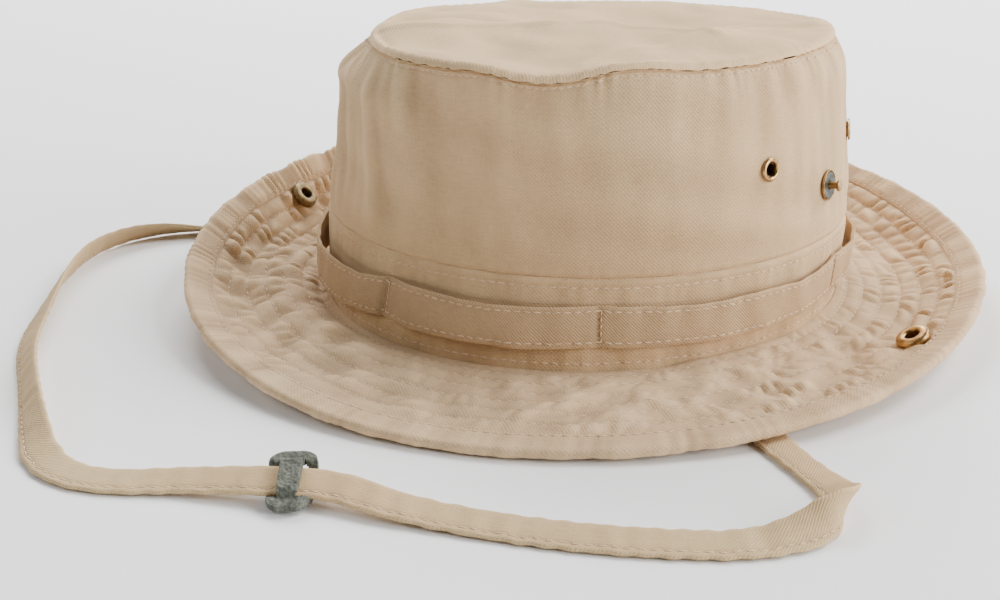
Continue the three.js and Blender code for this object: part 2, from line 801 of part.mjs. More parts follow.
// Axes of the strap: along it, across its width towards the raised edge, and out of its outer face
function strapFrame(place) {
  const share = place / (strapRoute.length - 1);
  const point = strapLine.getPoint(share);
  const along = strapLine.getTangent(share);
  along.z = 0;
  along.normalize();
  const lean = leanAt(place);
  const level = new THREE.Vector3(along.y, -along.x, 0);
  const across = level.multiplyScalar(Math.cos(lean)).add(new THREE.Vector3(0, 0, Math.sin(lean)));
  const face = new THREE.Vector3().crossVectors(across, along);
  return { point, along, across, face };
}

function addStrap() {
  const half = strapWidth / 2;
  const edge = half - strapThickness / 4;
  const thick = strapThickness / 2;
  const corners = [
    [-edge, -thick],
    [0, -thick],
    [edge, -thick],
    [half, 0],
    [edge, thick],
    [0, thick],
    [-edge, thick],
    [-half, 0],
  ];
  const sections = [];
  for (let i = 0; i <= strapSteps; i += 1) {
    const { point, across, face } = strapFrame(((strapRoute.length - 1) * i) / strapSteps);
    sections.push(corners.map(([w, t]) => point.clone().addScaledVector(across, w).addScaledVector(face, t)));
  }
  add('chin_strap', stripSolid(sections), material(khaki, 0.9, 0));
}

// Slider: two lobes joined by a bar in front of the strap and two rims behind it
function sliderLobe(sign) {
  const inner = strapWidth / 2 + slotClearance;
  const outer = sliderAcross / 2;
  const half = sliderAlong / 2;
  const corner = (outer - inner) * 0.8;
  const shape = new THREE.Shape();
  shape.moveTo(-half, inner);
  shape.lineTo(half, inner);
  shape.lineTo(half, outer - corner);
  shape.absarc(half - corner, outer - corner, corner, 0, Math.PI / 2, false);
  shape.quadraticCurveTo(0, outer - sliderWaist / 2, corner - half, outer);
  shape.absarc(corner - half, outer - corner, corner, Math.PI / 2, Math.PI, false);
  const settings = { depth: sliderThickness, bevelEnabled: false, curveSegments: 5 };
  const geometry = new THREE.ExtrudeGeometry(shape, settings).translate(0, 0, -sliderThickness / 2);
  return sign > 0 ? geometry : geometry.rotateZ(Math.PI);
}

function addSlider() {
  const overlap = 0.8;
  const reach = strapWidth + 2 * (slotClearance + overlap);
  const wall = sliderThickness / 2;
  const off = strapThickness / 2 + slotClearance + wall / 2;
  const bar = new THREE.BoxGeometry(sliderBar, reach, wall + 0.4).translate(0, 0, off + 0.2);
  const rimX = sliderAlong / 2 - sliderRim / 2;
  const rimRight = new THREE.BoxGeometry(sliderRim, reach, wall).translate(rimX, 0, -off);
  const rimLeft = new THREE.BoxGeometry(sliderRim, reach, wall).translate(-rimX, 0, -off);
  const feet = [];
  for (const sign of [1, -1]) {
    const lobe = sliderLobe(sign);
    const footHeight = 2 * off + wall;
    const foot = new THREE.BoxGeometry(sliderAlong - 1, overlap, footHeight);
    feet.push(lobe, foot.translate(0, sign * (strapWidth / 2 + slotClearance + overlap / 2), 0));
  }
  let solid = toSolid(bar).add(toSolid(rimRight)).add(toSolid(rimLeft));
  for (const piece of feet) {
    solid = solid.add(toSolid(piece));
  }
  const { point, along, across, face } = strapFrame(sliderPoint);
  const axes = new THREE.Matrix4().makeBasis(along.clone().negate(), across, face);
  const mesh = add('strap_slider', fromSolid(solid), material(leather, 0.85, 0));
  mesh.quaternion.setFromRotationMatrix(axes);
  mesh.position.copy(point);
}

addTip();
addSide();
addBaseBand();
addLoopBand();
addBrim();
addHem();
addEyelets();
addStuds();
addSockets();
addStrap();
addSlider();

// The hat without strap and slider stands over the origin
const hatBox = new THREE.Box3();
for (const mesh of hat.children) {
  if (!mesh.name.includes('strap')) {
    hatBox.expandByObject(mesh, true);
  }
}
const middle = hatBox.getCenter(new THREE.Vector3());
hat.position.set(-middle.x, -middle.y, 0);

const standing = new THREE.Group();
standing.add(hat);

export default standing;
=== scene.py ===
# Soft khaki cotton bush hat with a flat chin strap: the looks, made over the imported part.
# Hat sizes below are in millimetres, azimuths in degrees from +X towards +Y.
import math

import bpy
import numpy as np
from mathutils import Matrix, Vector


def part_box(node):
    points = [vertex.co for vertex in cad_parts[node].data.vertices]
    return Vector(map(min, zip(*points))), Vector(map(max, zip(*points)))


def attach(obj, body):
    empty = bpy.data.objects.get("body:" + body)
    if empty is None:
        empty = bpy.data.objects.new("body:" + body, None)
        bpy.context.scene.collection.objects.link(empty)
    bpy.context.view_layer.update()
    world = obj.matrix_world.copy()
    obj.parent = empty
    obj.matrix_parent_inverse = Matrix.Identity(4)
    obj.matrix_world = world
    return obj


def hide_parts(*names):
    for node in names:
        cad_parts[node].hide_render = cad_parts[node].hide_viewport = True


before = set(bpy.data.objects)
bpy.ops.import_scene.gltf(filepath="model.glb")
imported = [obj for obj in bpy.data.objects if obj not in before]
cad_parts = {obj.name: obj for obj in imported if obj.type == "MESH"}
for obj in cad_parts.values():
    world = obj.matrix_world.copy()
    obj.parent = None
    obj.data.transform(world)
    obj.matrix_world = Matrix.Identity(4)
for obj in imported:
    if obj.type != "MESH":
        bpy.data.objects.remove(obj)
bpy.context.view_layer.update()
bandLow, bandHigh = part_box("crown_base_band")
home = np.array([(bandLow.x + bandHigh.x) / 2, (bandLow.y + bandHigh.y) / 2, 0])
print("frame loaded,", len(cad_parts), "nodes")


def inFrame(points):
    return np.asarray(points, float) / 1000 + home


def hexColor(value):
    parts = [(value >> shift & 255) / 255 for shift in (16, 8, 0)]
    return (*[c / 12.92 if c <= 0.04045 else ((c + 0.055) / 1.055) ** 2.4 for c in parts], 1)


# Camera at the photograph's angle
camera = {"place": (187.1, -398.2, 157.0), "pitch": 69.172, "turn": 29.19, "lens": 45.22}

bpy.ops.object.camera_add(
    location=inFrame(camera["place"]),
    rotation=(math.radians(camera["pitch"]), 0, math.radians(camera["turn"])),
)
bpy.context.object.data.lens = camera["lens"]
bpy.context.scene.camera = bpy.context.object


# Shapes shared by the pieces
def hump(x):
    return np.where(np.abs(x) < 1, (1 - x * x) ** 2, 0.0)


def smooth(x):
    t = np.clip(x, 0, 1)
    return t * t * (3 - 2 * t)


def turnBetween(a, b):
    return (a - b + 180) % 360 - 180


def cubic(p0, p1, p2, p3, t):
    slopeIn = (p2 - p0) / 2
    slopeOut = (p3 - p1) / 2
    a = 2 * p1 - 2 * p2 + slopeIn + slopeOut
    b = -3 * p1 + 3 * p2 - 2 * slopeIn - slopeOut
    return ((a * t + b) * t + slopeIn) * t + p1


# Value at an azimuth of a table whose rows stand evenly round the hat
def roundTable(rows, azimuth):
    rows = np.asarray(rows, float)
    place = (azimuth % 360) / (360 / len(rows))
    i = np.floor(place).astype(int)
    near = [rows[(i + k) % len(rows)] for k in (-1, 0, 1, 2)]
    return cubic(*near, place - i)


# Folds are azimuth, span, then place and reach across if they end there, then height
def foldSum(folds, azimuth, across=0.0):
    total = 0.0 * azimuth
    for fold in folds:
        around = hump(turnBetween(azimuth, fold[0]) / fold[1])
        beside = hump((across - fold[2]) / fold[3]) if len(fold) == 5 else 1
        total = total + fold[-1] * around * beside
    return total


# Uneven cloth: whole waves round the hat, and waves per 100 mm across, both as (low, high)
def wrinkle(azimuth, across, seed, around, waves=(0, 0), count=14):
    chance = np.random.default_rng(seed)
    total = 0.0 * azimuth
    for _ in range(count):
        turn = np.radians(chance.integers(*around) * azimuth)
        total = total + np.cos(turn + across * chance.uniform(*waves) * 0.0628 + chance.uniform(0, 6.28))
    return total / math.sqrt(count / 2)


# Height of soft creases that follow lines of points over the flat x and y
def creases(x, y, lines):
    total = 0.0 * x
    for points, width, height in lines:
        points = np.asarray(points, float)
        near = np.full(x.shape, 1e9)
        for a, b in zip(points, points[1:]):
            d = b - a
            t = np.clip(((x - a[0]) * d[0] + (y - a[1]) * d[1]) / (d @ d), 0, 1)
            near = np.minimum(near, np.hypot(x - a[0] - t * d[0], y - a[1] - t * d[1]))
        total = total + height * np.exp(-((near / width) ** 2))
    return total


hat = {
    "headWidth": 180,
    "headLength": 196.6,
    "seamWidth": 183,
    "seamLength": 186,
    "tipWidth": 163,
    "tipLength": 185,
    "jointHeight": 3.2,
    "bandHeight": 28.6,
    "sideHeight": 59,
    "foldDepth": 8,
    "brimWidth": 51,
    "clearance": 0.3,
}
seamHeight = hat["jointHeight"] + hat["bandHeight"]
tipHeight = seamHeight + hat["sideHeight"]
strapGates = [(325.5, 15), (177.5, 15)]


def gate(azimuth):
    opened = [1 - smooth(2 * np.abs(turnBetween(azimuth, at)) / span - 1) for at, span in strapGates]
    return np.maximum(*opened)


def ovalPoint(azimuth, halfX, halfY, z):
    c = np.cos(np.radians(azimuth))
    s = np.sin(np.radians(azimuth))
    r = 1 / np.hypot(c / halfX, s / halfY)
    return np.stack([r * c, r * s, z + 0 * r], -1)


def bandPoint(azimuth, z, out):
    up = smooth((z - hat["jointHeight"]) / hat["bandHeight"])
    halfX = (hat["headWidth"] + (hat["seamWidth"] - hat["headWidth"]) * up) / 2
    halfY = (hat["headLength"] + (hat["seamLength"] - hat["headLength"]) * up) / 2
    return ovalPoint(azimuth, halfX + out, halfY + out, z)


tipSeamRows = [0.05, 0, -0.35, -0.5, -0.55, -0.4, -0.1, 0, 0.1, 0.1, 0.1, 0.05]
tipSeamDips = [(287, 13, -0.34), (305, 11, 0.16)]
taperUps = np.array([0, 0.25, 0.5, 0.75, 0.9, 1])
taperShares = np.array([0, 0.14, 0.3, 0.48, 0.68, 1])
taperSlopes = np.gradient(taperShares, taperUps)
sideFolds = [
    (212, 62, 1, 0.24, -1.2), (210, 62, 0.62, 0.62, -0.45), (218, 8, 0.35, 0.5, -0.16),
    (226, 8, 0.5, 0.55, 0.12), (240, 9, 0.3, 0.4, -0.12), (252, 12, 0.6, 0.5, 0.14),
    (284, 14, 0.86, 0.2, -0.14), (320, 22, 0.5, 0.5, 0.1), (190, 12, 0.75, 0.3, -0.14),
    (60, 22, 0.5, 0.5, -0.2), (118, 20, 0.6, 0.5, 0.16), (150, 14, 0.4, 0.5, -0.16),
]


def tipSeamHeight(azimuth):
    shift = roundTable(tipSeamRows, azimuth) + foldSum(tipSeamDips, azimuth)
    return tipHeight + hat["foldDepth"] * shift


def taperAt(up):
    k = np.clip(np.searchsorted(taperUps, up, side="right") - 1, 0, len(taperUps) - 2)
    width = taperUps[k + 1] - taperUps[k]
    t = (up - taperUps[k]) / width
    rise = taperShares[k + 1] - taperShares[k]
    slopeIn = taperSlopes[k] * width
    slopeOut = taperSlopes[k + 1] * width
    curve = ((slopeIn + slopeOut - 2 * rise) * t + 3 * rise - 2 * slopeIn - slopeOut) * t + slopeIn
    return curve * t + taperShares[k]


def sidePoint(azimuth, up, out):
    taper = taperAt(up)
    fold = hat["foldDepth"] * foldSum(sideFolds, azimuth, up) + out
    halfX = (hat["seamWidth"] + (hat["tipWidth"] - hat["seamWidth"]) * taper) / 2
    halfY = (hat["seamLength"] + (hat["tipLength"] - hat["seamLength"]) * taper) / 2
    z = seamHeight + (tipSeamHeight(azimuth) - seamHeight) * up
    return ovalPoint(azimuth, halfX + fold, halfY + fold, z)


def tipPoint(azimuth, share, lift):
    rim = sidePoint(azimuth, 1 + 0 * azimuth, 0)
    x = rim[..., 0] * share
    y = rim[..., 1] * share
    turn = math.radians(285)
    forward = (x * math.cos(turn) + y * math.sin(turn)) / (hat["tipLength"] / 2)
    sideways = (x * math.sin(turn) - y * math.cos(turn)) / (hat["tipWidth"] / 2)
    ridge = np.exp(-(((forward - 0.38 - 0.14 * sideways * sideways) / 0.2) ** 2))
    hollow = hump(np.hypot((forward + 0.2) / 0.5, (sideways + 0.15) / 0.75))
    fold = hump((sideways - 0.4 - 0.4 * forward) / 0.3) * hump((forward + 0.2) / 0.6)
    relief = (4 * ridge - 4.5 * hollow + 1.8 * fold) * (1 - share**6)
    level = tipHeight + (rim[..., 2] - tipHeight) * share * share
    return np.stack([x, y, level + relief + hat["clearance"] + lift], -1)


brimInner = [-8, -5, 4, 13, 16, 10, 2, -1, -1, 0, 1, 0]
brimOuter = [27, 31, 33, 35, 41, 49, 50, 37, 16, -0.5, -1.5, 8]
brimFolds = [
    (226, 36, 0.32, 0.3, 0.8), (262, 20, 0.3, 0.28, 0.2), (200, 12, 0.75, 0.3, 0.12),
    (176, 10, 0.6, 0.4, -0.14), (152, 12, 0.6, 0.4, 0.14), (128, 12, 0.6, 0.4, -0.12),
    (62, 12, 0.6, 0.4, 0.14), (38, 12, 0.6, 0.4, -0.16), (16, 10, 0.6, 0.4, 0.12),
    (292, 14, 0.62, 0.3, 0.08),
]


def brimCurve(azimuth, share):
    inner = np.radians(roundTable(brimInner, azimuth))
    outer = np.radians(roundTable(brimOuter, azimuth))
    steps = 24
    step = hat["brimWidth"] * share / steps
    reach = 0.0 * azimuth
    rise = 0.0 * azimuth
    for k in range(steps):
        slope = inner + (outer - inner) * smooth((share * (k + 0.5) / steps - 0.15) / 0.6)
        reach = reach + np.cos(slope) * step
        rise = rise + np.sin(slope) * step
    rise = rise + hat["foldDepth"] * foldSum(brimFolds, azimuth, share)
    rise = rise + 1.1 * gate(azimuth) * (1 - smooth(1.6 * share))
    return reach, rise


def brimPoint(azimuth, share, lift):
    reach, rise = brimCurve(azimuth, share)
    before = brimCurve(azimuth, share - 0.01)
    after = brimCurve(azimuth, share + 0.01)
    slope = np.arctan2(after[1] - before[1], after[0] - before[0])
    out = hat["clearance"] + reach - np.sin(slope) * lift
    z = hat["jointHeight"] + rise + np.cos(slope) * lift
    return ovalPoint(azimuth, hat["headWidth"] / 2 + out, hat["headLength"] / 2 + out, z)


# Point and outward normal of a surface, in millimetres
def seatOn(surface, azimuth, across):
    a = np.asarray(azimuth, float)
    v = np.asarray(across, float)
    alongTurn = surface(a + 0.1, v) - surface(a - 0.1, v)
    alongRise = surface(a, v + 0.1) - surface(a, v - 0.1)
    normal = np.cross(alongTurn, alongRise)
    normal = normal / np.linalg.norm(normal, axis=-1, keepdims=True)
    return surface(a, v), normal


# Steps shared by all meshes
def pick(piece):
    bpy.ops.object.select_all(action="DESELECT")
    piece.select_set(True)
    bpy.context.view_layer.objects.active = piece


def meshPoints(piece):
    points = np.empty(len(piece.data.vertices) * 3)
    piece.data.vertices.foreach_get("co", points)
    return points.reshape(-1, 3)


def movePoints(piece, points):
    piece.data.vertices.foreach_set("co", np.asarray(points, np.float32).ravel())
    piece.data.update()


def applyModifier(piece, kind, **settings):
    pick(piece)
    modifier = piece.modifiers.new(kind.lower(), kind)
    for name, value in settings.items():
        setattr(modifier, name, value)
    bpy.ops.object.modifier_apply(modifier=modifier.name)


def shadeSmooth(piece, angle=50):
    pick(piece)
    bpy.ops.object.shade_smooth_by_angle(angle=math.radians(angle))


# Makes a piece part of the hat: it rides on it, stands for CAD nodes and has a finish
def dress(piece, material, slot, *nodes):
    piece.data.materials.clear()
    piece.data.materials.append(material)
    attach(piece, "root")
    if nodes:
        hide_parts(*nodes)
    return piece


def editAll(piece):
    pick(piece)
    bpy.ops.object.mode_set(mode="EDIT")
    bpy.ops.mesh.select_all(action="SELECT")


# One curved sheet of cloth: shape(u, v) gives its outer points, the flat cut and the wear-and-shade value:
# worn edges and crests lighter, painted shade in hollows and grooves, painted highlights on crests
def clothSheet(name, columns, rows, shape, wall, holes=()):
    bpy.ops.mesh.primitive_grid_add(x_subdivisions=columns, y_subdivisions=rows, size=1)
    piece = bpy.context.object
    piece.name = piece.data.name = name
    flat = meshPoints(piece)
    points, cut, wearAndShade = shape(flat[:, 0] + 0.5, flat[:, 1] + 0.5)
    corners = np.empty(len(piece.data.loops), int)
    piece.data.loops.foreach_get("vertex_index", corners)
    piece.data.uv_layers.active.data.foreach_set("uv", cut[corners].astype(np.float32).ravel())
    attribute = piece.data.attributes.new("wearAndShade", "FLOAT", "POINT")
    attribute.data.foreach_set("value", np.asarray(wearAndShade, np.float32))
    movePoints(piece, inFrame(points))
    pick(piece)
    if holes:
        middles = np.empty(len(piece.data.polygons) * 3)
        piece.data.polygons.foreach_get("center", middles)
        middles = middles.reshape(-1, 3)
        inside = np.zeros(len(middles), bool)
        for middle, radius in holes:
            inside |= np.linalg.norm(middles - inFrame(middle), axis=1) < radius / 1000
        bpy.ops.object.mode_set(mode="EDIT")
        bpy.ops.mesh.select_mode(type="FACE")
        bpy.ops.mesh.select_all(action="DESELECT")
        bpy.ops.object.mode_set(mode="OBJECT")
        piece.data.polygons.foreach_set("select", inside)
        bpy.ops.object.mode_set(mode="EDIT")
        bpy.ops.mesh.delete(type="FACE")
        bpy.ops.object.mode_set(mode="OBJECT")
    bpy.ops.object.mode_set(mode="EDIT")
    bpy.ops.mesh.select_mode(type="VERT")
    bpy.ops.mesh.select_all(action="SELECT")
    bpy.ops.mesh.remove_doubles(threshold=2e-6)
    bpy.ops.object.mode_set(mode="OBJECT")
    if wall:
        applyModifier(piece, "SOLIDIFY", thickness=wall / 1000, offset=-1)
    shadeSmooth(piece)
    return piece


# Turned metal piece from a closed profile of radius and height, seated on a surface
def turnedPiece(name, profile, middle, normal, bevel=0.12):
    bpy.ops.mesh.primitive_circle_add(vertices=len(profile), radius=1, fill_type="NOTHING")
    piece = bpy.context.object
    piece.name = piece.data.name = name
    movePoints(piece, [(r / 1000, 0, h / 1000) for r, h in profile])
    editAll(piece)
    bpy.ops.mesh.spin(steps=48, angle=2 * math.pi, center=(0, 0, 0), axis=(0, 0, 1))
    bpy.ops.mesh.select_all(action="SELECT")
    bpy.ops.mesh.remove_doubles(threshold=2e-6)
    bpy.ops.mesh.delete_loose()
    bpy.ops.mesh.select_all(action="SELECT")
    bpy.ops.mesh.normals_make_consistent(inside=False)
    bpy.ops.object.mode_set(mode="OBJECT")
    applyModifier(piece, "BEVEL", width=bevel / 1000, segments=2, limit_method="ANGLE",
                  angle_limit=math.radians(28))
    turn = Vector((0, 0, 1)).rotation_difference(Vector(normal)).to_matrix().to_4x4()
    piece.data.transform(Matrix.Translation(inFrame(middle)) @ turn)
    shadeSmooth(piece, 40)
    return piece


# Sewing thread, in rows of small stitches
stitch = {"thread": 0.52, "sink": 0.06, "uneven": 0.12}


# Stitches along a straight line between two (azimuth, across) places of a surface
def stitchRow(surface, start, end, pitch, facing=1, share=0.78):
    t = np.linspace(0, 1, 1500)
    line = [start[k] + (end[k] - start[k]) * t for k in (0, 1)]
    points = surface(*line)
    far = np.concatenate([[0], np.cumsum(np.linalg.norm(np.diff(points, axis=0), axis=1))])
    count = max(2, round(far[-1] / pitch))
    at = np.interp((np.arange(count) + 0.5) * far[-1] / count, far, t)
    azimuth = start[0] + (end[0] - start[0]) * at
    across = start[1] + (end[1] - start[1]) * at
    middle, normal = seatOn(surface, azimuth, across)
    ahead = surface(*[start[k] + (end[k] - start[k]) * (at + 1e-3) for k in (0, 1)])
    along = ahead - middle
    along = along / np.linalg.norm(along, axis=1, keepdims=True)
    return middle, along, normal * facing, np.full(count, pitch * share)


# One mesh of all stitches of some rows, copied from one small rounded stitch
def stitchPiece(name, rows, material, slot, seed=5):
    middle, along, normal, length = [np.concatenate(parts) for parts in zip(*rows)]
    bpy.ops.mesh.primitive_uv_sphere_add(segments=6, ring_count=4, radius=0.5)
    piece = bpy.context.object
    editAll(piece)
    bpy.ops.transform.rotate(value=math.pi / 2, orient_axis="Y", center_override=(0, 0, 0))
    bpy.ops.object.mode_set(mode="OBJECT")
    one = meshPoints(piece)
    faces = [list(face.vertices) for face in piece.data.polygons]
    chance = np.random.default_rng(seed)
    count = len(middle)
    side = np.cross(normal, along)
    lean = chance.normal(0, stitch["uneven"], count)[:, None]
    along = along + side * lean
    side = np.cross(normal, along)
    size = length * chance.uniform(0.92, 1.08, count)
    middle = middle + normal * (stitch["thread"] * 0.3 - stitch["sink"])
    points = (
        middle[:, None]
        + one[None, :, :1] * (along * size[:, None])[:, None]
        + one[None, :, 1:2] * (side * stitch["thread"])[:, None]
        + one[None, :, 2:3] * (normal * stitch["thread"] * 0.8)[:, None]
    )
    allFaces = [[v + k * len(one) for v in face] for k in range(count) for face in faces]
    mesh = bpy.data.meshes.new(name)
    mesh.from_pydata(inFrame(points.reshape(-1, 3)), [], allFaces)
    old = piece.data
    piece.data = mesh
    bpy.data.meshes.remove(old)
    piece.name = name
    shadeSmooth(piece, 80)
    return dress(piece, material, slot)


# Materials
def addNode(material, kind, inputs=None, **settings):
    node = material.node_tree.nodes.new(kind)
    for name, value in settings.items():
        setattr(node, name, value)
    for key, value in (inputs or {}).items():
        if isinstance(value, bpy.types.NodeSocket):
            material.node_tree.links.new(value, node.inputs[key])
        else:
            node.inputs[key].default_value = value
    return node


def newMaterial(name, **values):
    material = bpy.data.materials.new(name)
    material.use_nodes = True
    shader = material.node_tree.nodes["Principled BSDF"]
    for key, value in values.items():
        shader.inputs[key.replace("_", " ")].default_value = value
    return material, shader


def linkTo(material, socket, shader, name):
    material.node_tree.links.new(socket, shader.inputs[name])


def objectPlace(material):
    return addNode(material, "ShaderNodeTexCoord").outputs["Object"]


def noiseOver(material, vector, scale, detail, **more):
    inputs = {"Vector": vector, "Scale": scale, "Detail": detail, **more}
    return addNode(material, "ShaderNodeTexNoise", inputs).outputs["Fac"]


def colorBetween(material, share, first, second):
    ends = [hexColor(c) if isinstance(c, int) else c for c in (first, second)]
    inputs = {0: share, 6: ends[0], 7: ends[1]}
    return addNode(material, "ShaderNodeMix", inputs, data_type="RGBA").outputs[2]


def valueBetween(material, share, first, second):
    return addNode(material, "ShaderNodeMix", {0: share, 2: first, 3: second}, data_type="FLOAT").outputs[0]


def rangeOf(material, value, low, high, start=0.0, end=1.0):
    inputs = {"Value": value, "From Min": low, "From Max": high, "To Min": start, "To Max": end}
    return addNode(material, "ShaderNodeMapRange", inputs).outputs[0]


def combine(material, operation, *values):
    return addNode(material, "ShaderNodeMath", dict(enumerate(values)), operation=operation).outputs[0]


def bumpOf(material, height, strength, distance):
    inputs = {"Height": height, "Strength": strength, "Distance": distance}
    return addNode(material, "ShaderNodeBump", inputs).outputs[0]


# Washed cotton: matt, soft sheen at grazing angles, uneven yarns, lighter where it is worn, with painted
# shade in hollows and grooves and painted highlights on crests
def cottonMaterial(name, look):
    material, shader = newMaterial(
        name, Roughness=0.92, Specular_IOR_Level=0.25, Sheen_Weight=look["sheen"], Sheen_Roughness=0.5,
        Sheen_Tint=hexColor(0xE8DCC8),
    )
    uv = addNode(material, "ShaderNodeUVMap", uv_map="UVMap").outputs[0]
    place = objectPlace(material)
    # one wave of Blender's wave texture is this many units long, so threads come out in millimetres
    scale = 0.3142 / look["thread"]
    if look["weave"] == "twill":
        threads = addNode(
            material, "ShaderNodeTexWave",
            {"Vector": uv, "Scale": scale * 1.41, "Distortion": 1.4, "Detail": 2, "Detail Scale": 0.8},
            bands_direction="DIAGONAL",
        ).outputs["Fac"]
    else:
        waves = []
        for direction in ("X", "Y"):
            wave = addNode(
                material, "ShaderNodeTexWave",
                {"Vector": uv, "Scale": scale / 2, "Distortion": 0.9, "Detail": 1, "Detail Scale": 0.4},
                bands_direction=direction,
            ).outputs["Fac"]
            waves.append(combine(material, "SUBTRACT", wave, 0.5))
        cells = combine(material, "MULTIPLY", *waves)
        threads = combine(material, "MULTIPLY_ADD", cells, 2.0, 0.5)
    slubs = []
    for stretch in ((0.26, 1.7, 1), (1.7, 0.26, 1)):
        mapping = addNode(material, "ShaderNodeMapping", {"Vector": uv, "Scale": stretch}).outputs[0]
        slubs.append(noiseOver(material, mapping, 1.0, 3, Roughness=0.6))
    slub = valueBetween(material, 0.42, *slubs)
    mottle = noiseOver(material, place, 26, 4, Roughness=0.55)
    warm = noiseOver(material, place, 11, 2, Roughness=0.5)
    # wear-and-shade value of the mesh: worn edges, painted shade in hollows and grooves, painted highlights
    # on crests
    wearAndShadeTone = addNode(material, "ShaderNodeAttribute", attribute_name="wearAndShade").outputs["Fac"]
    # one value from dark to light: yarns, blotches, the wear-and-shade value (worn edges and crests,
    # painted shade in hollows and grooves, painted highlights on crests) and threads together
    parts = [
        (slub, look["slub"]), (mottle, look["mottle"]), (wearAndShadeTone, look["wearAndShade"]),
        (threads, look["threadTone"]),
    ]
    tone = 0.5 - sum(amount for _, amount in parts) / 2
    for socket, amount in parts:
        tone = combine(material, "MULTIPLY_ADD", socket, amount, tone)
    color = colorBetween(material, tone, look["dark"], look["light"])
    warmth = rangeOf(material, warm, 0.35, 0.65, end=look["blush"])
    color = colorBetween(material, warmth, color, look["warm"])
    linkTo(material, color, shader, "Base Color")
    height = valueBetween(material, 0.7, threads, slub)
    linkTo(material, bumpOf(material, height, look["bump"], 0.0004), shader, "Normal")
    return material


# the wear-and-shade weight sets how strongly worn edges and crests, painted shade in hollows and grooves
# and painted highlights on crests show
cotton = {
    "weave": "plain", "thread": 0.62, "dark": 0x987C5A, "light": 0xEACA9C, "warm": 0xC99A72, "blush": 0.22,
    "slub": 0.66, "mottle": 0.34, "wearAndShade": 0.44, "threadTone": 0.07, "bump": 0.8, "sheen": 0.1,
}
# plain-woven washed cotton, its threads 0.62 mm apart
crownCotton = cottonMaterial("Washed plain cotton, crown", cotton)
# the brim's larger wear-and-shade weight gives its puckers stronger painted shade and painted highlights
brimCotton = cottonMaterial(
    "Washed plain cotton, brim", {**cotton, "dark": 0x92785B, "light": 0xEACBA0, "wearAndShade": 0.55}
)
# twill tape: fine diagonal ribs, 0.7 mm apart
tape = {**cotton, "weave": "twill", "thread": 0.7}
loopTwill = cottonMaterial(
    "Cotton twill tape, loop band", {**tape, "dark": 0x8C7457, "light": 0xD8B88E, "threadTone": 0.09}
)
strapTwill = cottonMaterial(
    "Cotton twill, chin strap",
    {**tape, "dark": 0x987F5C, "light": 0xE7CA9A, "threadTone": 0.16, "bump": 0.7},
)


# Spun cotton-polyester sewing thread: lighter than the cloth, a little shine
def threadMaterial():
    material, shader = newMaterial("Sewing thread", Roughness=0.7, Sheen_Weight=0.2)
    noise = noiseOver(material, objectPlace(material), 400, 2)
    linkTo(material, colorBetween(material, noise, 0xBC9A78, 0xEBCFA9), shader, "Base Color")
    return material


# Plated or painted sheet metal with tarnish in blotches and fine scratches
def metalMaterial(name, dark, light, roughness, metallic=1.0, scale=420):
    material, shader = newMaterial(name, Metallic=metallic)
    place = objectPlace(material)
    blotch = noiseOver(material, place, scale, 4, Roughness=0.6)
    grain = noiseOver(material, place, scale * 8, 3, Roughness=0.7)
    color = colorBetween(material, rangeOf(material, blotch, 0.35, 0.65), dark, light)
    rough = rangeOf(material, grain, 0, 1, roughness - 0.1, roughness + 0.14)
    linkTo(material, color, shader, "Base Color")
    linkTo(material, rough, shader, "Roughness")
    linkTo(material, bumpOf(material, grain, 0.12, 0.0001), shader, "Normal")
    return material


# Grey split leather: matt, speckled, with a short rough nap
def leatherMaterial():
    material, shader = newMaterial("Grey split leather", Roughness=0.85, Specular_IOR_Level=0.35)
    place = objectPlace(material)
    blotch = noiseOver(material, place, 420, 5, Roughness=0.7)
    speck = addNode(material, "ShaderNodeTexVoronoi", {"Vector": place, "Scale": 900}).outputs["Distance"]
    color = colorBetween(material, rangeOf(material, blotch, 0.34, 0.66), 0x3B3E38, 0x73766A)
    dots = rangeOf(material, speck, 0.12, 0.3, 0.5, 0)
    linkTo(material, colorBetween(material, dots, color, 0x3A3731), shader, "Base Color")
    height = combine(material, "ADD", blotch, speck)
    linkTo(material, bumpOf(material, height, 0.7, 0.0005), shader, "Normal")
    return material


thread = threadMaterial()
brass = metalMaterial("Antique brass", 0x7A5C38, 0xC9A56E, 0.34)
dullBrass = metalMaterial("Tarnished brass", 0x5C4F3C, 0x9C8862, 0.48)
gunmetal = metalMaterial("Blackened steel", 0x3A3B38, 0x6B6A60, 0.42, 0.9)
leather = leatherMaterial()
print("materials made")

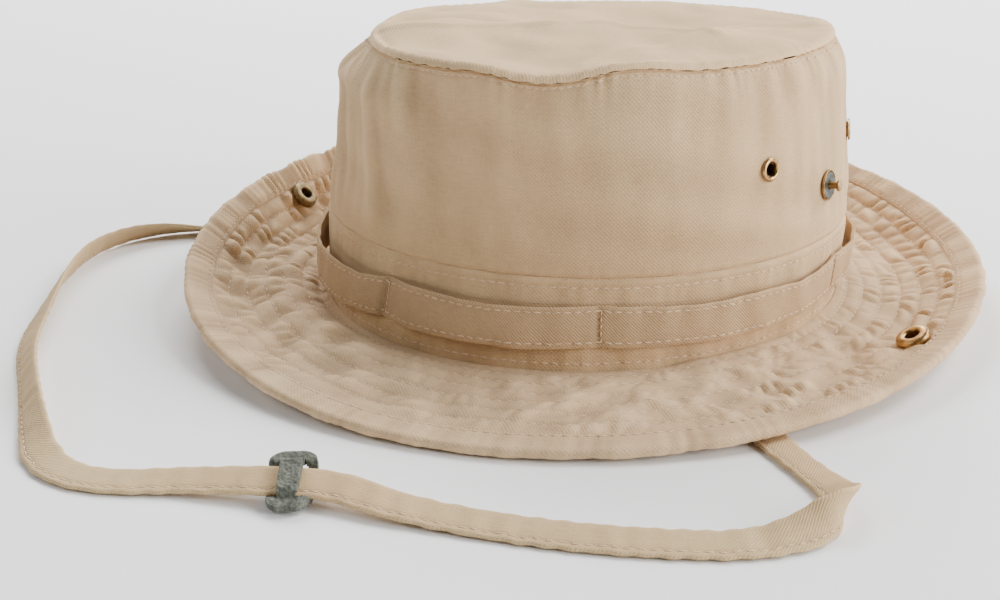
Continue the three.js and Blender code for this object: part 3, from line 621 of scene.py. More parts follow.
# Chin strap: a free flat cord that lies on the floor
# place along the floor, height of the lower edge and lean from lying flat, as in the part
strapRoute = [
    (86.6, -2, 0.4, 90), (85, -12, 0.4, 96), (81, -22, 0.3, 122), (76, -31.5, 0.1, 155),
    (72.3, -41, 0.05, 175), (72.5, -51, 0.05, 178), (76.5, -61.5, 0.05, 178), (82.5, -71.5, 0.05, 178),
    (89.5, -81.5, 0.05, 178), (96.5, -90.5, 0.05, 178), (103.5, -98, 0.05, 177),
    (112.6, -105.6, 0.05, 181), (120, -111.8, 0.05, 178), (125.8, -117.8, 0.05, 165),
    (129.4, -123.4, 0.05, 136), (130.8, -129.2, 0.05, 100), (129.6, -135, 0.05, 64),
    (126.2, -140.8, 0.05, 34), (120.9, -146.8, 0.05, 16), (112.4, -153.6, 0.05, 9), (98, -161, 0.05, 9),
    (80, -168, 0.05, 9), (60, -173.4, 0.1, 8), (42, -177.2, 0.7, 8), (31.5, -179.1, 1.4, 11),
    (23.5, -179.8, 1.9, 15), (15.5, -181.3, 2.2, 16), (8.1, -184.2, 2.3, 16), (0.7, -187.1, 2.2, 16),
    (-8, -190, 1.5, 14), (-20.2, -194.4, 0.5, 11), (-31, -199.8, 0.1, 8), (-41.5, -203.4, 0.05, 6),
    (-52, -203.6, 0.05, 7), (-63, -199.6, 0.05, 16), (-73, -192.4, 0.05, 34), (-84.5, -183.2, 0.05, 47),
    (-96.9, -173, 0.05, 52), (-108, -163.6, 0.05, 50), (-118.9, -153.4, 0.05, 42),
    (-128.6, -142.4, 0.05, 38), (-139.9, -127.4, 0.05, 45), (-152, -110.6, 0.05, 54),
    (-162, -94.6, 0.05, 62), (-169, -80.6, 0.05, 62), (-172.4, -66.6, 0.05, 56),
    (-171.4, -53, 0.05, 49), (-165.6, -41.4, 0.05, 38), (-156, -32.4, 0.05, 24), (-143, -23.6, 0.05, 8),
    (-127, -15.6, 0.05, 2), (-108.5, -7.6, 0.05, 1), (-92.5, 2.5, 0.05, 1), (-81.5, 14.5, 0.05, 4),
    (-77, 26, 0.1, 22), (-76.3, 37, 0.3, 56), (-74.4, 46.5, 0.4, 84), (-70.9, 54, 0.4, 90),
]
strap = {"width": 10, "cadThickness": 1.8, "stitchRow": 1.8, "pitch": 3.0, "sliderPoint": 27}


def strapKnots():
    rows = np.array(strapRoute)
    x, y, lift = rows[:, 0], rows[:, 1], rows[:, 2]
    lean = np.radians(rows[:, 3])
    rise = strap["width"] / 2 * np.sin(lean) + strap["cadThickness"] / 2 * np.abs(np.cos(lean))
    return np.stack([x, y, lift + rise], 1)


# Centripetal curve through the knots, the same curve as the part's
def strapLine(place):
    knots = strapKnots()
    ends = [2 * knots[0] - knots[1], 2 * knots[-1] - knots[-2]]
    knots = np.concatenate([ends[:1], knots, ends[1:]])
    k = np.clip(np.floor(place).astype(int), 0, len(knots) - 4)
    t = (place - k)[:, None]
    p = [knots[k + i] for i in range(4)]
    d = [np.sqrt(np.linalg.norm(p[i + 1] - p[i], axis=1))[:, None] for i in range(3)]
    slopeIn = ((p[1] - p[0]) / d[0] - (p[2] - p[0]) / (d[0] + d[1]) + (p[2] - p[1]) / d[1]) * d[1]
    slopeOut = ((p[2] - p[1]) / d[1] - (p[3] - p[1]) / (d[1] + d[2]) + (p[3] - p[2]) / d[2]) * d[1]
    a = 2 * p[1] - 2 * p[2] + slopeIn + slopeOut
    b = -3 * p[1] + 3 * p[2] - 2 * slopeIn - slopeOut
    point = ((a * t + b) * t + slopeIn) * t + p[1]
    along = (3 * a * t + 2 * b) * t + slopeIn
    return point, along


def strapFrame(place):
    place = np.asarray(place, float)
    point, along = strapLine(place)
    along = along * (1, 1, 0)
    along = along / np.linalg.norm(along, axis=1, keepdims=True)
    leans = np.array(strapRoute)[:, 3]
    k = np.clip(np.floor(place).astype(int), 0, len(leans) - 2)
    near = [leans[np.clip(k + i, 0, len(leans) - 1)] for i in (-1, 0, 1, 2)]
    lean = np.radians(cubic(*near, place - k))[:, None]
    level = np.stack([along[:, 1], -along[:, 0], 0 * place], 1)
    across = level * np.cos(lean) + np.array([0, 0, 1]) * np.sin(lean)
    return point, along, across, np.cross(across, along)


strapPlaces = np.linspace(0, len(strapRoute) - 1, 4000)
strapPoints = strapLine(strapPlaces)[0]
strapFar = np.concatenate([[0], np.cumsum(np.linalg.norm(np.diff(strapPoints, axis=0), axis=1))])
strapLength = strapFar[-1]


def strapPlace(far):
    return np.interp(far, strapFar, strapPlaces)


# Half thickness of the strap across its width, with the channel of its stitch row
strapSection = [
    (-5, 0), (-4.85, 0.38), (-4.5, 0.62), (-4, 0.7), (-3.6, 0.66), (-3.2, 0.5), (-2.8, 0.66), (-2.2, 0.74),
    (-1, 0.76), (0.6, 0.76), (2.2, 0.75), (3.6, 0.72), (4.4, 0.6), (4.85, 0.36), (5, 0),
]


def strapSurface(far, across, face):
    point, along, wide, out = strapFrame(strapPlace(far))
    half = np.interp(across, [s[0] for s in strapSection], [s[1] for s in strapSection])
    degrees = far / strapLength * 360
    edge = 0.12 * wrinkle(degrees, 0, 31, (60, 130)) * np.abs(across) / 5
    wave = 0.1 * wrinkle(degrees, across, 32, (40, 120), (-3, 3))
    offset = face * half + (wave + 0 * half) * smooth((5 - np.abs(across)) / 2)
    return point + wide * (across + edge)[:, None] + out * offset[:, None]


def strapShape(u, v):
    corners = [(w, 1) for w, _ in strapSection] + [(w, -1) for w, _ in reversed(strapSection[1:-1])]
    corners.append(corners[0])
    w = np.array([c[0] for c in corners], float)
    side = np.array([c[1] for c in corners], float)
    k = np.round(v * (len(corners) - 1)).astype(int)
    far = u * strapLength
    points = strapSurface(far, w[k], side[k])
    # wear-and-shade value: the worn edges lighter, and painted shade darkens the stitch channel
    strapWearAndShade = 0.5 + 0.35 * smooth((np.abs(w[k]) - 4) / 1) - 0.3 * np.exp(-(((w[k] + 3.2) / 0.5) ** 2))
    return points, np.stack([far, w[k] + 12 * (side[k] < 0)], 1), strapWearAndShade


strapCorners = 2 * len(strapSection) - 2
chinStrap = clothSheet("strapTwill", 760, strapCorners, strapShape, 0)
editAll(chinStrap)
bpy.ops.mesh.fill_holes(sides=0)
bpy.ops.mesh.normals_make_consistent(inside=False)
bpy.ops.object.mode_set(mode="OBJECT")
shadeSmooth(chinStrap, 60)
dress(chinStrap, strapTwill, "strap_cotton", "chin_strap")

strapRows = []
for face in (1, -1):
    count = round(strapLength / strap["pitch"])
    far = (np.arange(count) + 0.5) * strapLength / count
    across = 0 * far - strap["width"] / 2 + strap["stitchRow"]
    middle = strapSurface(far, across, face)
    along = strapSurface(far + 0.5, across, face) - strapSurface(far - 0.5, across, face)
    along = along / np.linalg.norm(along, axis=1, keepdims=True)
    normal = strapFrame(strapPlace(far))[3] * face
    strapRows.append((middle, along, normal, np.full(count, strap["pitch"] * 0.72)))
strapStitches = stitchPiece("strapStitches", strapRows, thread, "strap_cotton")

# Slider: leather plate with two slots, its bar in front of the strap and its rims behind
slider = {
    "across": 19.4, "along": 12.4, "wall": 1.9, "bar": 2.2, "slot": 3.8, "reach": 5.6, "off": 1.85,
    "turn": math.radians(8), "shift": 0.5,
}


# A place of the slider's own plane: x along the strap, y across it, z out of its face
def sliderPlace(x, y, z):
    point, along, wide, out = (a[0] for a in strapFrame([float(strap["sliderPoint"])]))
    turnedX = x * math.cos(slider["turn"]) - y * math.sin(slider["turn"])
    turnedY = x * math.sin(slider["turn"]) + y * math.cos(slider["turn"]) + slider["shift"]
    x, y, z = (np.asarray(k, float)[..., None] for k in (turnedX, turnedY, z))
    return point - along * x + wide * y + out * z


def sliderShape(u, v):
    x = (u - 0.5) * slider["along"]
    y = (v - 0.5) * slider["across"]
    far = np.abs(y)
    lobe = np.clip((far - 6.2) / (slider["across"] / 2 - 6.2), 0, 1)
    narrow = np.where(y > 0, 1, 0.86)
    x = x * (np.sqrt(1 - 0.8 * lobe**2.2) * (1 - (1 - narrow) * smooth(far / 8)) - 0.06 * hump(y / 5))
    bulge = smooth((slider["reach"] + 1.1 - far) / 1.9)
    front = np.abs(u - 0.5) * slider["along"] < (slider["bar"] + slider["slot"]) / 2
    z = np.where(front, 1, -1) * slider["off"] * bulge
    return sliderPlace(x, y, z), np.stack([x, y], 1), 0.5 + 0 * x


def sliderHoles():
    holes = []
    for side in (1, -1):
        for y in np.arange(-slider["reach"] + 0.4, slider["reach"], 0.4):
            for z in (-0.9, 0, 0.9):
                holes.append((sliderPlace(3.0 * side, y, z), 0.95))
    return holes


leatherSlider = clothSheet("leatherSlider", 26, 40, sliderShape, 0, sliderHoles())
applyModifier(leatherSlider, "SOLIDIFY", thickness=slider["wall"] / 1000, offset=0)
applyModifier(leatherSlider, "BEVEL", width=0.0003, segments=2, limit_method="ANGLE", angle_limit=0.7)
applyModifier(leatherSlider, "SUBSURF", levels=1, render_levels=1)
shadeSmooth(leatherSlider, 60)
dress(leatherSlider, leather, "grey_leather", "strap_slider")

print("chin strap made,", round(strapLength), "mm long")

# Crown
snapTurn = 6.4
eyeletTurn = 21
stud = {"height": 49}
eyelet = {"height": 60}
socket = {"out": 35.2, "turnRight": 3.6, "turnLeft": 2.5, "tilt": (-0.401, -0.271, 0.875)}


def sideUp(z):
    return (z - seamHeight) / hat["sideHeight"]


def cadSide(azimuth, z):
    return sidePoint(azimuth, sideUp(z), 0)


eyeletPlaces = [
    ("right_front", -snapTurn - eyeletTurn), ("right_rear", -snapTurn + eyeletTurn),
    ("left_front", 180 + snapTurn + eyeletTurn), ("left_rear", 180 + snapTurn - eyeletTurn),
]
studPlaces = [("right", -snapTurn), ("left", 180 + snapTurn)]
socketPlaces = [("right", -snapTurn - socket["turnRight"]), ("left", 180 + snapTurn - socket["turnLeft"])]

crown = {
    "wall": 1.2,
    "seamPucker": 0.4,
    "seamWaves": 104,
    "softFold": 0.36,
    "stitchDrop": 1.9,
    "stitchPitch": 2.3,
    # short pulls at the two corners of the tip seam: azimuth, span, up, rise, depth in mm
    "pulls": [
        (206, 3, 0.93, 0.2, -0.7), (211, 2.5, 0.94, 0.24, 0.5), (216, 2.4, 0.93, 0.22, -0.8),
        (221, 2.6, 0.92, 0.26, 0.5), (226, 2.6, 0.93, 0.2, -0.7), (232, 3, 0.93, 0.18, 0.4),
        (338, 3.4, 0.93, 0.2, -0.7), (343, 3, 0.9, 0.26, 0.5), (348, 3.4, 0.92, 0.26, -0.8),
        (354, 3.2, 0.9, 0.24, 0.5), (0, 3.6, 0.93, 0.2, -0.6), (262, 5, 0.88, 0.2, -0.4),
        (284, 7, 0.9, 0.16, -0.6), (296, 5, 0.9, 0.2, 0.4),
    ],
}


# Strength of the soft upright folds round the crown: most at the slack left corner
sideSlack = [0.5, 0.6, 0.8, 0.8, 0.8, 0.8, 0.9, 1.3, 1.1, 0.45, 0.35, 0.4]


def calmNear(azimuth, z, places, height, reach):
    calm = 1.0 + 0 * azimuth
    for _, at in places:
        away = np.hypot(np.radians(turnBetween(azimuth, at)) * 90, z - height)
        calm = calm * (1 - hump(away / reach))
    return calm


def sideRelief(azimuth, up):
    z = up * hat["sideHeight"]
    down = (1 - up) * hat["sideHeight"]
    waves = np.cos(np.radians(crown["seamWaves"] * azimuth) + 1.6 * wrinkle(azimuth, 0, 3, (15, 40)))
    pucker = waves * (0.6 + 0.4 * wrinkle(azimuth, 0, 4, (8, 30)))
    relief = crown["seamPucker"] * pucker * np.exp(-down / 4.5)
    slack = roundTable(sideSlack, azimuth)
    soft = wrinkle(azimuth, z, 11, (9, 34), (-1.2, 1.2))
    soft = soft + 0.5 * wrinkle(azimuth, z, 12, (30, 70), (-2.5, 2.5))
    relief = relief + crown["softFold"] * slack * soft * smooth(z / 12) * (0.5 + 0.5 * smooth(down / 8))
    relief = relief + 0.16 * wrinkle(azimuth, z, 13, (2, 9), (2.5, 6)) * smooth(z / 10)
    leaning = 25 * (up - 0.93) * hump(turnBetween(azimuth, 216) / 45)
    relief = relief + foldSum(crown["pulls"], azimuth - leaning, up)
    relief = relief + 2.2 * hump(turnBetween(azimuth, 212) / 32) * hump((up - 0.87) / 0.14)
    relief = relief + 0.1 * waves * np.exp(-z / 3)
    calm = calmNear(azimuth, z + seamHeight, studPlaces, stud["height"], 8)
    calm = calm * calmNear(azimuth, z + seamHeight, eyeletPlaces, eyelet["height"], 7)
    return relief * calm


def sideSurface(azimuth, up):
    down = (1 - up) * hat["sideHeight"]
    low = up * hat["sideHeight"]
    relief = sideRelief(azimuth, up)
    roll = -0.85 * np.exp(-((down / 0.8) ** 2)) - 0.6 * np.exp(-((low / 0.7) ** 2))
    groove = -0.4 * np.exp(-(((down - crown["stitchDrop"]) / 0.55) ** 2))
    drop = 0.6 * np.exp(-((down / 1.2) ** 2))
    return sidePoint(azimuth, up, relief + roll + groove) - np.stack([0 * drop, 0 * drop, drop], -1)


def sideShape(u, v):
    azimuth = u * 360
    up = 0.001 + 0.999 * (v - 0.75 * np.sin(2 * np.pi * v) / (2 * np.pi))
    relief = sideRelief(azimuth, up)
    low = up * hat["sideHeight"]
    # wear-and-shade value: lighter along the worn rolled top and bottom edges, fold crests lighter as wear
    # and painted highlight, fold hollows painted darker as shade
    edge = 0.3 * np.exp(-(hat["sideHeight"] - low) / 1.2) + 0.2 * np.exp(-low / 1.2)
    wearAndShade = np.clip(0.45 + 0.28 * relief / 0.5 + edge, 0, 1)
    return sideSurface(azimuth, up), np.stack([azimuth * 1.6, low], 1), wearAndShade


sideHoles = [(cadSide(at, eyelet["height"]), 2.6) for _, at in eyeletPlaces]
sideHoles += [(cadSide(at, stud["height"]), 1.9) for _, at in studPlaces]
crownSide = clothSheet("crownSideCotton", 640, 60, sideShape, crown["wall"], sideHoles)
dress(crownSide, crownCotton, "crown_cotton", "crown_side")

tip = {
    "wall": 1.2,
    "reach": 88,
    # creases by their points, width and height in mm
    "creases": [
        (
            [(-51, -58), (-39, -56), (-23.5, -52), (-8, -38), (4, -31), (18.6, -25), (36, -24), (56, -27)],
            2.6, 0.9,
        ),
        ([(32, -74), (37, -59), (45, -47), (51, -29), (55, -17), (55, -4), (64, 9), (74, 20)], 2.6, 0.8),
        ([(27, -2), (38, 14), (51, 26), (68, 31)], 5, 0.9),
        ([(-61, -45), (-42, -67), (-31, -78)], 2.2, -0.9),
        ([(-66, -30), (-40, -30), (-12, -18)], 4, -0.6),
        ([(-40, 20), (-24, 50), (-17, 76)], 5, -0.8),
        ([(7, 18), (16, 62), (4, 78)], 5, -0.7),
        ([(46, 66), (60, 52)], 5, -0.6),
        ([(-6, -60), (12, -62), (26, -56)], 5, -0.5),
    ],
}


def tipRelief(azimuth, share):
    flat = tipPoint(azimuth, share, 0)
    x, y = flat[..., 0], flat[..., 1]
    distance = (1 - share) * tip["reach"]
    relief = creases(x, y, tip["creases"]) * smooth(distance / 5)
    soft = 0.0 * x
    chance = np.random.default_rng(17)
    for _ in range(22):
        turn = chance.uniform(0, math.pi)
        length = chance.uniform(13, 46)
        far = x * math.cos(turn) + y * math.sin(turn)
        soft = soft + np.cos(far * 6.28 / length + chance.uniform(0, 6.28)) * length / 30
    relief = relief + 0.13 * soft * smooth(distance / 8)
    waves = np.cos(np.radians(crown["seamWaves"] * azimuth) + 1.6 * wrinkle(azimuth, 0, 3, (15, 40)))
    return relief + 0.2 * waves * np.exp(-distance / 5)


def tipSurface(azimuth, share):
    distance = (1 - share) * tip["reach"]
    roll = 1.35 * np.sqrt(1 - (1 - np.clip(distance / 2.4, 0, 1)) ** 2)
    lip = np.exp(-((distance / 0.7) ** 2))
    return tipPoint(azimuth, share + 0.002 * lip, 0.15 + roll - 0.55 * lip + tipRelief(azimuth, share))


def tipShape(u, v):
    azimuth = u * 360
    share = 1 - v**1.35
    points = tipSurface(azimuth, share)
    relief = tipRelief(azimuth, share)
    # wear-and-shade value: the whole tip, the top of the hat, painted lighter than the sides as light;
    # crease ridges lighter as wear and painted highlight, hollows painted darker as shade; the worn rolled
    # rim lighter
    wearAndShade = np.clip(0.72 + 0.2 * relief + 0.3 * np.exp(-(1 - share) * tip["reach"] / 1.6), 0, 1)
    return points, points[:, :2], wearAndShade


crownTip = clothSheet("crownTipCotton", 420, 84, tipShape, tip["wall"])
dress(crownTip, crownCotton, "crown_cotton", "crown_tip")

band = {"wall": 1.3, "topStitch": 3.0, "footStitch": 3.0, "pitch": 3.1}


def bandRelief(azimuth, z):
    waves = np.cos(np.radians(96 * azimuth) + 1.5 * wrinkle(azimuth, 0, 23, (15, 40)))
    foot = 0.12 * waves * np.exp(-np.abs(z - 7) / 3)
    soft = 0.12 * wrinkle(azimuth, z, 24, (10, 40), (-2, 2))
    return foot + soft + 0.12 * waves * np.exp(-np.abs(z - 27) / 3)


def bandSurface(azimuth, z):
    top = seamHeight - z
    foot = z - hat["jointHeight"]
    roll = -0.7 * np.exp(-((top / 0.8) ** 2))
    groove = -0.2 * np.exp(-(((top - band["topStitch"]) / 0.6) ** 2))
    groove = groove - 0.2 * np.exp(-(((foot - band["footStitch"]) / 0.6) ** 2))
    return bandPoint(azimuth, z, bandRelief(azimuth, z) + roll + groove)


def bandShape(u, v):
    azimuth = u * 360
    foot = 0.05 + 2.6 * gate(azimuth)
    z = foot + (seamHeight - 0.05 - foot) * (v - 0.6 * np.sin(2 * np.pi * v) / (2 * np.pi))
    # wear-and-shade value: ripple crests lighter as wear and painted highlight, their hollows painted
    # darker as shade; the worn rolled top edge lighter
    wearAndShade = np.clip(0.42 + bandRelief(azimuth, z) + 0.3 * np.exp(-(seamHeight - z) / 1.0), 0, 1)
    return bandSurface(azimuth, z), np.stack([azimuth * 1.63, z], 1), wearAndShade


baseBand = clothSheet("crownBandCotton", 600, 34, bandShape, band["wall"])
dress(baseBand, crownCotton, "crown_cotton", "crown_base_band")



# One row all round the hat at a height or share of the surface
def ringRow(surface, across, pitch, *more):
    return stitchRow(surface, (0, across), (360, across), pitch, *more)


crownRows = [
    ringRow(sideSurface, 1 - crown["stitchDrop"] / hat["sideHeight"], crown["stitchPitch"]),
    ringRow(bandSurface, seamHeight - band["topStitch"], band["pitch"]),
    ringRow(bandSurface, hat["jointHeight"] + band["footStitch"], band["pitch"]),
]
stitchPiece("crownStitches", crownRows, thread, "crown_cotton")
print("crown made")

# Loop band: twill tape tacked down at six places
loop = {"width": 12.4, "wall": 1.3, "height": 18, "gap": 3.4, "sag": 1.2, "edgeStitch": 1.6, "pitch": 3.0}
loopTacks = [(-2, 0.8, 1), (58, 0.7, 1), (118, 0.8, 1), (178, 1, 2.2), (255.5, 0.5, 0.9), (298, 0.55, 1)]


def standOff(azimuth):
    starts = [t[0] for t in loopTacks] + [loopTacks[0][0] + 360]
    k = np.searchsorted(starts, (azimuth + 2) % 360 - 2, side="right") - 1
    along = ((azimuth + 2) % 360 - 2 - np.array(starts)[k]) / np.diff(starts)[k]
    bulge = np.array([t[1] for t in loopTacks])[k]
    late = np.array([t[2] for t in loopTacks])[k]
    return bulge * np.sin(np.pi * along**late) ** 0.8


def tackDistance(azimuth):
    away = [np.abs(turnBetween(azimuth, t[0])) * 1.63 for t in loopTacks]
    return np.min(away, axis=0)


def loopSurface(azimuth, across):
    off = standOff(azimuth)
    middle = loop["height"] - loop["sag"] * off
    edge = across / (loop["width"] / 2)
    wavy = 0.25 * wrinkle(azimuth, 0, 41, (5, 16)) * np.clip(edge, 0, 1)
    wavy = wavy + 0.12 * wrinkle(azimuth, 0, 42, (5, 20)) * np.clip(-edge, 0, 1)
    tack = tackDistance(azimuth)
    pinch = -0.5 * np.exp(-((tack / 0.9) ** 2)) - 0.5 * np.exp(-((turnBetween(azimuth, 255.5) / 0.8) ** 2))
    waves = np.cos(np.radians(116 * azimuth) + 1.4 * wrinkle(azimuth, 0, 43, (15, 40)))
    near = np.exp(-(((np.abs(across) - 4.6) / 1.2) ** 2))
    groove = -0.14 * np.exp(-(((np.abs(across) - (loop["width"] / 2 - loop["edgeStitch"])) / 0.5) ** 2))
    roll = -0.35 * np.exp(-(((loop["width"] / 2 - np.abs(across)) / 0.4) ** 2))
    soft = 0.16 * wrinkle(azimuth, across, 44, (20, 60), (-4, 4))
    flare = 0.5 * off * np.clip(edge, 0, 1) ** 2
    clear = hat["clearance"] + loop["wall"]
    out = clear + loop["gap"] * off - 0.1 + pinch + 0.07 * waves * near + groove + roll + soft + flare
    return bandPoint(azimuth, middle + across + wavy, np.maximum(out, clear - 0.45))


def loopShape(u, v):
    azimuth = u * 360
    across = (v - 0.5) * loop["width"]
    edge = np.abs(across) / (loop["width"] / 2)
    # wear-and-shade value: the worn edges of the tape lighter, and painted shade darkens the pinched tacks
    wearAndShade = 0.45 + 0.4 * smooth((edge - 0.86) / 0.14) - 0.5 * np.exp(-((tackDistance(azimuth) / 1.2) ** 2))
    return loopSurface(azimuth, across), np.stack([azimuth * 1.63, across], 1), np.clip(wearAndShade, 0, 1)


loopBand = clothSheet("loopBandTwill", 840, 22, loopShape, 1.0)
dress(loopBand, loopTwill, "loop_cotton", "loop_band")
edgeRow = loop["width"] / 2 - loop["edgeStitch"]
loopRows = [ringRow(loopSurface, side * edgeRow, loop["pitch"]) for side in (1, -1)]
for tack in loopTacks:
    loopRows.append(stitchRow(loopSurface, (tack[0] + 0.55, -5.2), (tack[0] + 0.55, 5.2), 2.2))
stitchPiece("loopStitches", loopRows, thread, "loop_cotton", 9)
print("loop band made")

# Brim
brim = {
    "wall": 1.5,
    "rows": [3.5, 9, 15.5, 22, 28.5, 35],
    "hemStart": 41.5,
    "pucker": 0.86,
    "spacing": 7.8,
    "puff": 0.3,
    "groove": 0.4,
    "wrinkle": 0.4,
    "pitch": 3.4,
    # how strong the quilting puckers, near the crown and near the hem, every 30 degrees
    "inner": [0.35, 0.5, 0.5, 0.5, 0.6, 0.8, 1.1, 1.0, 0.3, 0.15, 0.2, 0.3],
    "outer": [0.8, 1.2, 1.0, 0.8, 0.8, 0.9, 1.1, 1.0, 0.55, 0.35, 0.4, 0.5],
    "front": [0.6, 0.4, 0.4, 0.4, 0.4, 0.4, 0.4, 0.7, 1.1, 0.7, 0.8, 1.0],
    # fine gathers beside the hem, and the hem's own ribs
    "gathers": [1.0, 1.0, 0.7, 0.5, 0.5, 0.6, 0.7, 0.6, 0.35, 0.25, 0.4, 0.7],
    "hem": [0.5, 0.55, 0.6, 0.7, 0.8, 0.9, 1.2, 1.1, 0.65, 0.4, 0.4, 0.4],
}


def brimRelief(azimuth, out):
    edges = [0, *brim["rows"], brim["hemStart"]]
    height = 0.0 * azimuth
    near = roundTable(brim["inner"], azimuth)
    outer = roundTable(brim["outer"], azimuth)
    for k, (low, high) in enumerate(zip(edges, edges[1:])):
        share = np.clip((out - low) / (high - low), 0, 1)
        middle = (low + high) / 2
        waves = round(2 * math.pi * (94 + middle) / brim["spacing"])
        phase = np.radians(waves * azimuth) + 1.5 * wrinkle(azimuth, 0, 50 + k, (14, 44))
        slant = 1.1 * wrinkle(azimuth, 0, 60 + k, (4, 16)) + 0.8
        wave = 1 - 2 * (0.5 - 0.5 * np.cos(phase + slant * (share - 0.5) * 2)) ** 2.2
        size = np.clip(0.75 + 0.45 * wrinkle(azimuth, 0, 70 + k, (10, 40)), 0.1, 1.7)
        strength = near + (outer - near) * smooth(middle / brim["hemStart"])
        dome = np.sin(math.pi * share) ** 0.85
        band = min(1, (high - low) / 5)
        height = height + dome * band * strength * (brim["pucker"] * size * wave + brim["puff"])
    for row in brim["rows"]:
        height = height - brim["groove"] * np.exp(-(((out - row) / 0.7) ** 2))
    front = roundTable(brim["front"], azimuth)
    diagonal = wrinkle(azimuth, out, 81, (16, 44), (2.2, 5.0))
    diagonal = diagonal + 0.6 * wrinkle(azimuth, out, 82, (20, 60), (-5, -2))
    height = height + brim["wrinkle"] * front * diagonal * smooth(out / 12) * smooth((44 - out) / 8)
    fine = np.cos(np.radians(240 * azimuth) + 2.2 * wrinkle(azimuth, 0, 83, (20, 60)))
    fine = 1 - 2 * (0.5 - 0.5 * fine) ** 1.8
    gathers = 0.34 * roundTable(brim["gathers"], azimuth) * (0.8 + 0.4 * wrinkle(azimuth, 0, 84, (10, 40)))
    height = height + gathers * fine * hump((out - 39.6) / 4.6)
    calm = 1.0 + 0 * azimuth
    for _, at in socketPlaces:
        away = np.hypot(np.radians(turnBetween(azimuth, at)) * 128, out - socket["out"])
        calm = calm * (1 - hump(away / 9))
    inside = 1 - smooth((out - 40.6) / 1.0)
    return height * calm * inside * smooth(out / 1.5)


def brimSurface(azimuth, out):
    return brimPoint(azimuth, out / hat["brimWidth"], 0.74 + brimRelief(azimuth, out))


def brimShape(u, v):
    azimuth = u * 360
    out = 49.4 - 49.6 * v
    relief = brimRelief(azimuth, out)
    # wear-and-shade value: pucker crests lighter as wear and painted highlight, hollows and stitch grooves
    # painted darker as shade
    wearAndShade = np.clip(0.42 + 0.42 * relief, 0, 1)
    radius = 93 + out
    turn = np.radians(azimuth)
    return brimSurface(azimuth, out), np.stack([radius * np.cos(turn), radius * np.sin(turn)], 1), wearAndShade


def cadBrim(azimuth, out):
    return brimPoint(azimuth, out / hat["brimWidth"], 0.8)


brimHoles = [(cadBrim(at, socket["out"]), 3.1) for _, at in socketPlaces]
brimCloth = clothSheet("brimCotton", 820, 58, brimShape, brim["wall"], brimHoles)
dress(brimCloth, brimCotton, "brim_cotton", "brim")

hem = {"wall": 0.75, "half": 1.55, "ribs": 207, "rib": 0.22, "centre": 49.45, "stitchRow": 1.2}


def hemRelief(azimuth, far):
    strength = roundTable(brim["hem"], azimuth)
    phase = np.radians(hem["ribs"] * azimuth) + 2.2 * wrinkle(azimuth, 0, 91, (14, 50))
    size = np.clip(0.7 + 0.5 * wrinkle(azimuth, 0, 92, (12, 50)), 0, 1.8)
    ribs = hem["rib"] * strength * size * np.cos(phase + 0.14 * far)
    broad = 0.2 * wrinkle(azimuth, far, 93, (24, 70), (-2, 2)) * (0.3 + 0.7 * strength)
    return ribs + broad


# Points of the folded tape by the distance from its inner edge on top: over the edge and back below
def hemSurface(azimuth, far):
    top = hem["centre"] - brim["hemStart"]
    bend = math.pi * hem["half"]
    turn = np.clip((far - top) / bend, 0, 1) * math.pi
    below = np.clip(far - top - bend, 0, top)
    out = brim["hemStart"] + np.clip(far, 0, top) - below
    lift = hem["half"]
    inward = np.minimum(far, 2 * top + bend - far)
    relief = hemRelief(azimuth, far) * smooth(inward / 2.5)
    relief = relief - 0.22 * np.exp(-(((inward - hem["stitchRow"]) / 0.5) ** 2))
    relief = relief - 0.35 * np.exp(-((inward / 0.35) ** 2))
    relief = relief + 0.12 * smooth(inward / 3)
    half = lift + relief - 0.1
    return brimPoint(azimuth, (out + half * np.sin(turn)) / hat["brimWidth"], half * np.cos(turn))


hemLength = 2 * (hem["centre"] - brim["hemStart"]) + math.pi * hem["half"]


def hemShape(u, v):
    azimuth = u * 360
    far = hemLength * (1 - v)
    # wear-and-shade value: the worn folded edge lighter, rib crests lighter as wear and painted highlight,
    # painted shade darkens the stitch groove
    edge = np.exp(-(((far - hemLength / 2) / 2.5) ** 2))
    seam = np.exp(-(((far - hem["stitchRow"]) / 0.5) ** 2))
    wearAndShade = np.clip(0.5 + 1.3 * hemRelief(azimuth, far) + 0.3 * edge - 0.3 * seam, 0, 1)
    return hemSurface(azimuth, far), np.stack([azimuth * 2.35, far], 1), wearAndShade


hemTape = clothSheet("hemCotton", 940, 34, hemShape, hem["wall"])
dress(hemTape, brimCotton, "brim_cotton", "brim_binding")

brimRows = [ringRow(brimSurface, row, brim["pitch"], -1, 0.7) for row in brim["rows"]]
brimRows.append(ringRow(hemSurface, hem["stitchRow"], 3.1, -1))
stitchPiece("brimStitches", brimRows, thread, "brim_cotton", 7)
print("brim made")

# Snaps and eyelets
eyeletProfile = [
    (2.2, 0.15), (2.25, 0.75), (2.5, 1.08), (2.95, 1.2), (3.4, 1.02), (3.65, 0.62), (3.6, 0.42),
    (2.62, 0.42), (2.62, -1.9), (3.6, -1.9), (3.6, -2.5), (2.2, -2.5),
]
for name, at in eyeletPlaces:
    middle, normal = seatOn(cadSide, at, eyelet["height"])
    piece = turnedPiece(f"eyelet-{name}", eyeletProfile, middle, normal)
    dress(piece, brass, "aged_brass", f"eyelet_{name}")

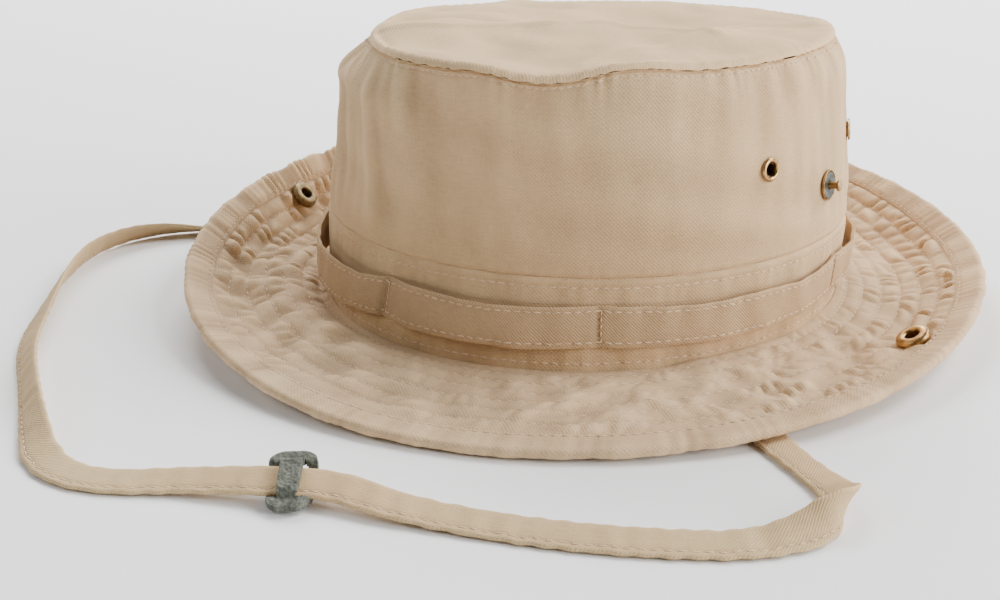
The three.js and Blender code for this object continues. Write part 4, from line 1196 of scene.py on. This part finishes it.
studProfile = [
    (0, -2.6), (3.8, -2.6), (3.9, -2.1), (1.2, -2.1), (1.2, 0.3), (4.7, 0.3), (4.9, 0.5), (4.9, 0.95),
    (4.75, 1.15), (4.55, 1.0), (4.5, 0.6), (1.25, 0.6), (1.1, 1.1), (1.1, 3.5), (1.65, 3.7),
    (1.85, 3.95), (1.85, 4.4), (1.6, 4.6), (0, 4.66),
]
washerProfile = [(1.45, 0.65), (4.3, 0.65), (4.35, 1.0), (3.9, 1.05), (3.0, 0.85), (2.1, 0.8), (1.5, 1.1)]
for name, at in studPlaces:
    middle, normal = seatOn(cadSide, at, stud["height"])
    piece = turnedPiece(f"stud-{name}", studProfile, middle, normal, 0.08)
    dress(piece, brass, "aged_brass", f"snap_stud_{name}")
    piece = turnedPiece(f"washer-{name}", washerProfile, middle, normal, 0.06)
    dress(piece, gunmetal, "dark_metal", f"snap_washer_{name}")

socketProfile = [
    (0, -2.9), (5.0, -2.9), (5.3, -2.6), (5.3, -2.3), (2.7, -2.2), (2.7, 0.35), (5.2, 0.3), (5.4, 0.7),
    (5.4, 2.1), (5.1, 2.75), (4.5, 3.1), (3.4, 3.25), (2.6, 3.1), (2.25, 2.7), (2.2, 2.2), (2.2, -1.2),
    (0, -1.2),
]
for name, at in socketPlaces:
    middle, normal = seatOn(cadBrim, at, socket["out"] + 1.3)
    normal = np.array(socket["tilt"]) if name == "right" else normal * np.sign(normal[2])
    piece = turnedPiece(f"socket-{name}", socketProfile, middle, normal, 0.14)
    dress(piece, dullBrass if name == "left" else brass, "aged_brass", f"snap_socket_{name}")
print("metal made")

# Floor and light
studio = {
    "floor": 0xF6F6F7,
    "world": 0.03,
    # place from the hat's middle in metres, size in metres, power in watts
    "lights": [
        ((1.6, 0.1, 0.6), 1.0, 36), ((1.07, 1.17, 1.6), 1.2, 66), ((-1.1, 1.3, 1.4), 1.4, 76),
        ((-1.5, -1.2, 1.4), 1.4, 21), ((0.3, 1.9, 0.8), 1.2, 14),
    ],
}
floorMaterial, floorShader = newMaterial("White paper sweep", Roughness=0.9)
floorGrain = noiseOver(floorMaterial, objectPlace(floorMaterial), 3, 2)
floorTone = colorBetween(floorMaterial, floorGrain, studio["floor"], 0xFAFAFA)
linkTo(floorMaterial, floorTone, floorShader, "Base Color")
bpy.ops.mesh.primitive_plane_add(size=14, location=(0, 0, 0))
floor = bpy.context.object
floor.name = "floor"
floor.data.materials.append(floorMaterial)

for k, (place, size, power) in enumerate(studio["lights"]):
    spot = Vector(place)
    turn = (Vector((0, 0, 0.04)) - spot).to_track_quat("-Z", "Y").to_euler()
    bpy.ops.object.light_add(type="AREA", location=spot, rotation=turn)
    bpy.context.object.data.size = size
    bpy.context.object.data.energy = power

world = bpy.data.worlds.new("studio")
bpy.context.scene.world = world
world.use_nodes = True
world.node_tree.nodes["Background"].inputs["Color"].default_value = (1, 1, 1, 1)
world.node_tree.nodes["Background"].inputs["Strength"].default_value = studio["world"]
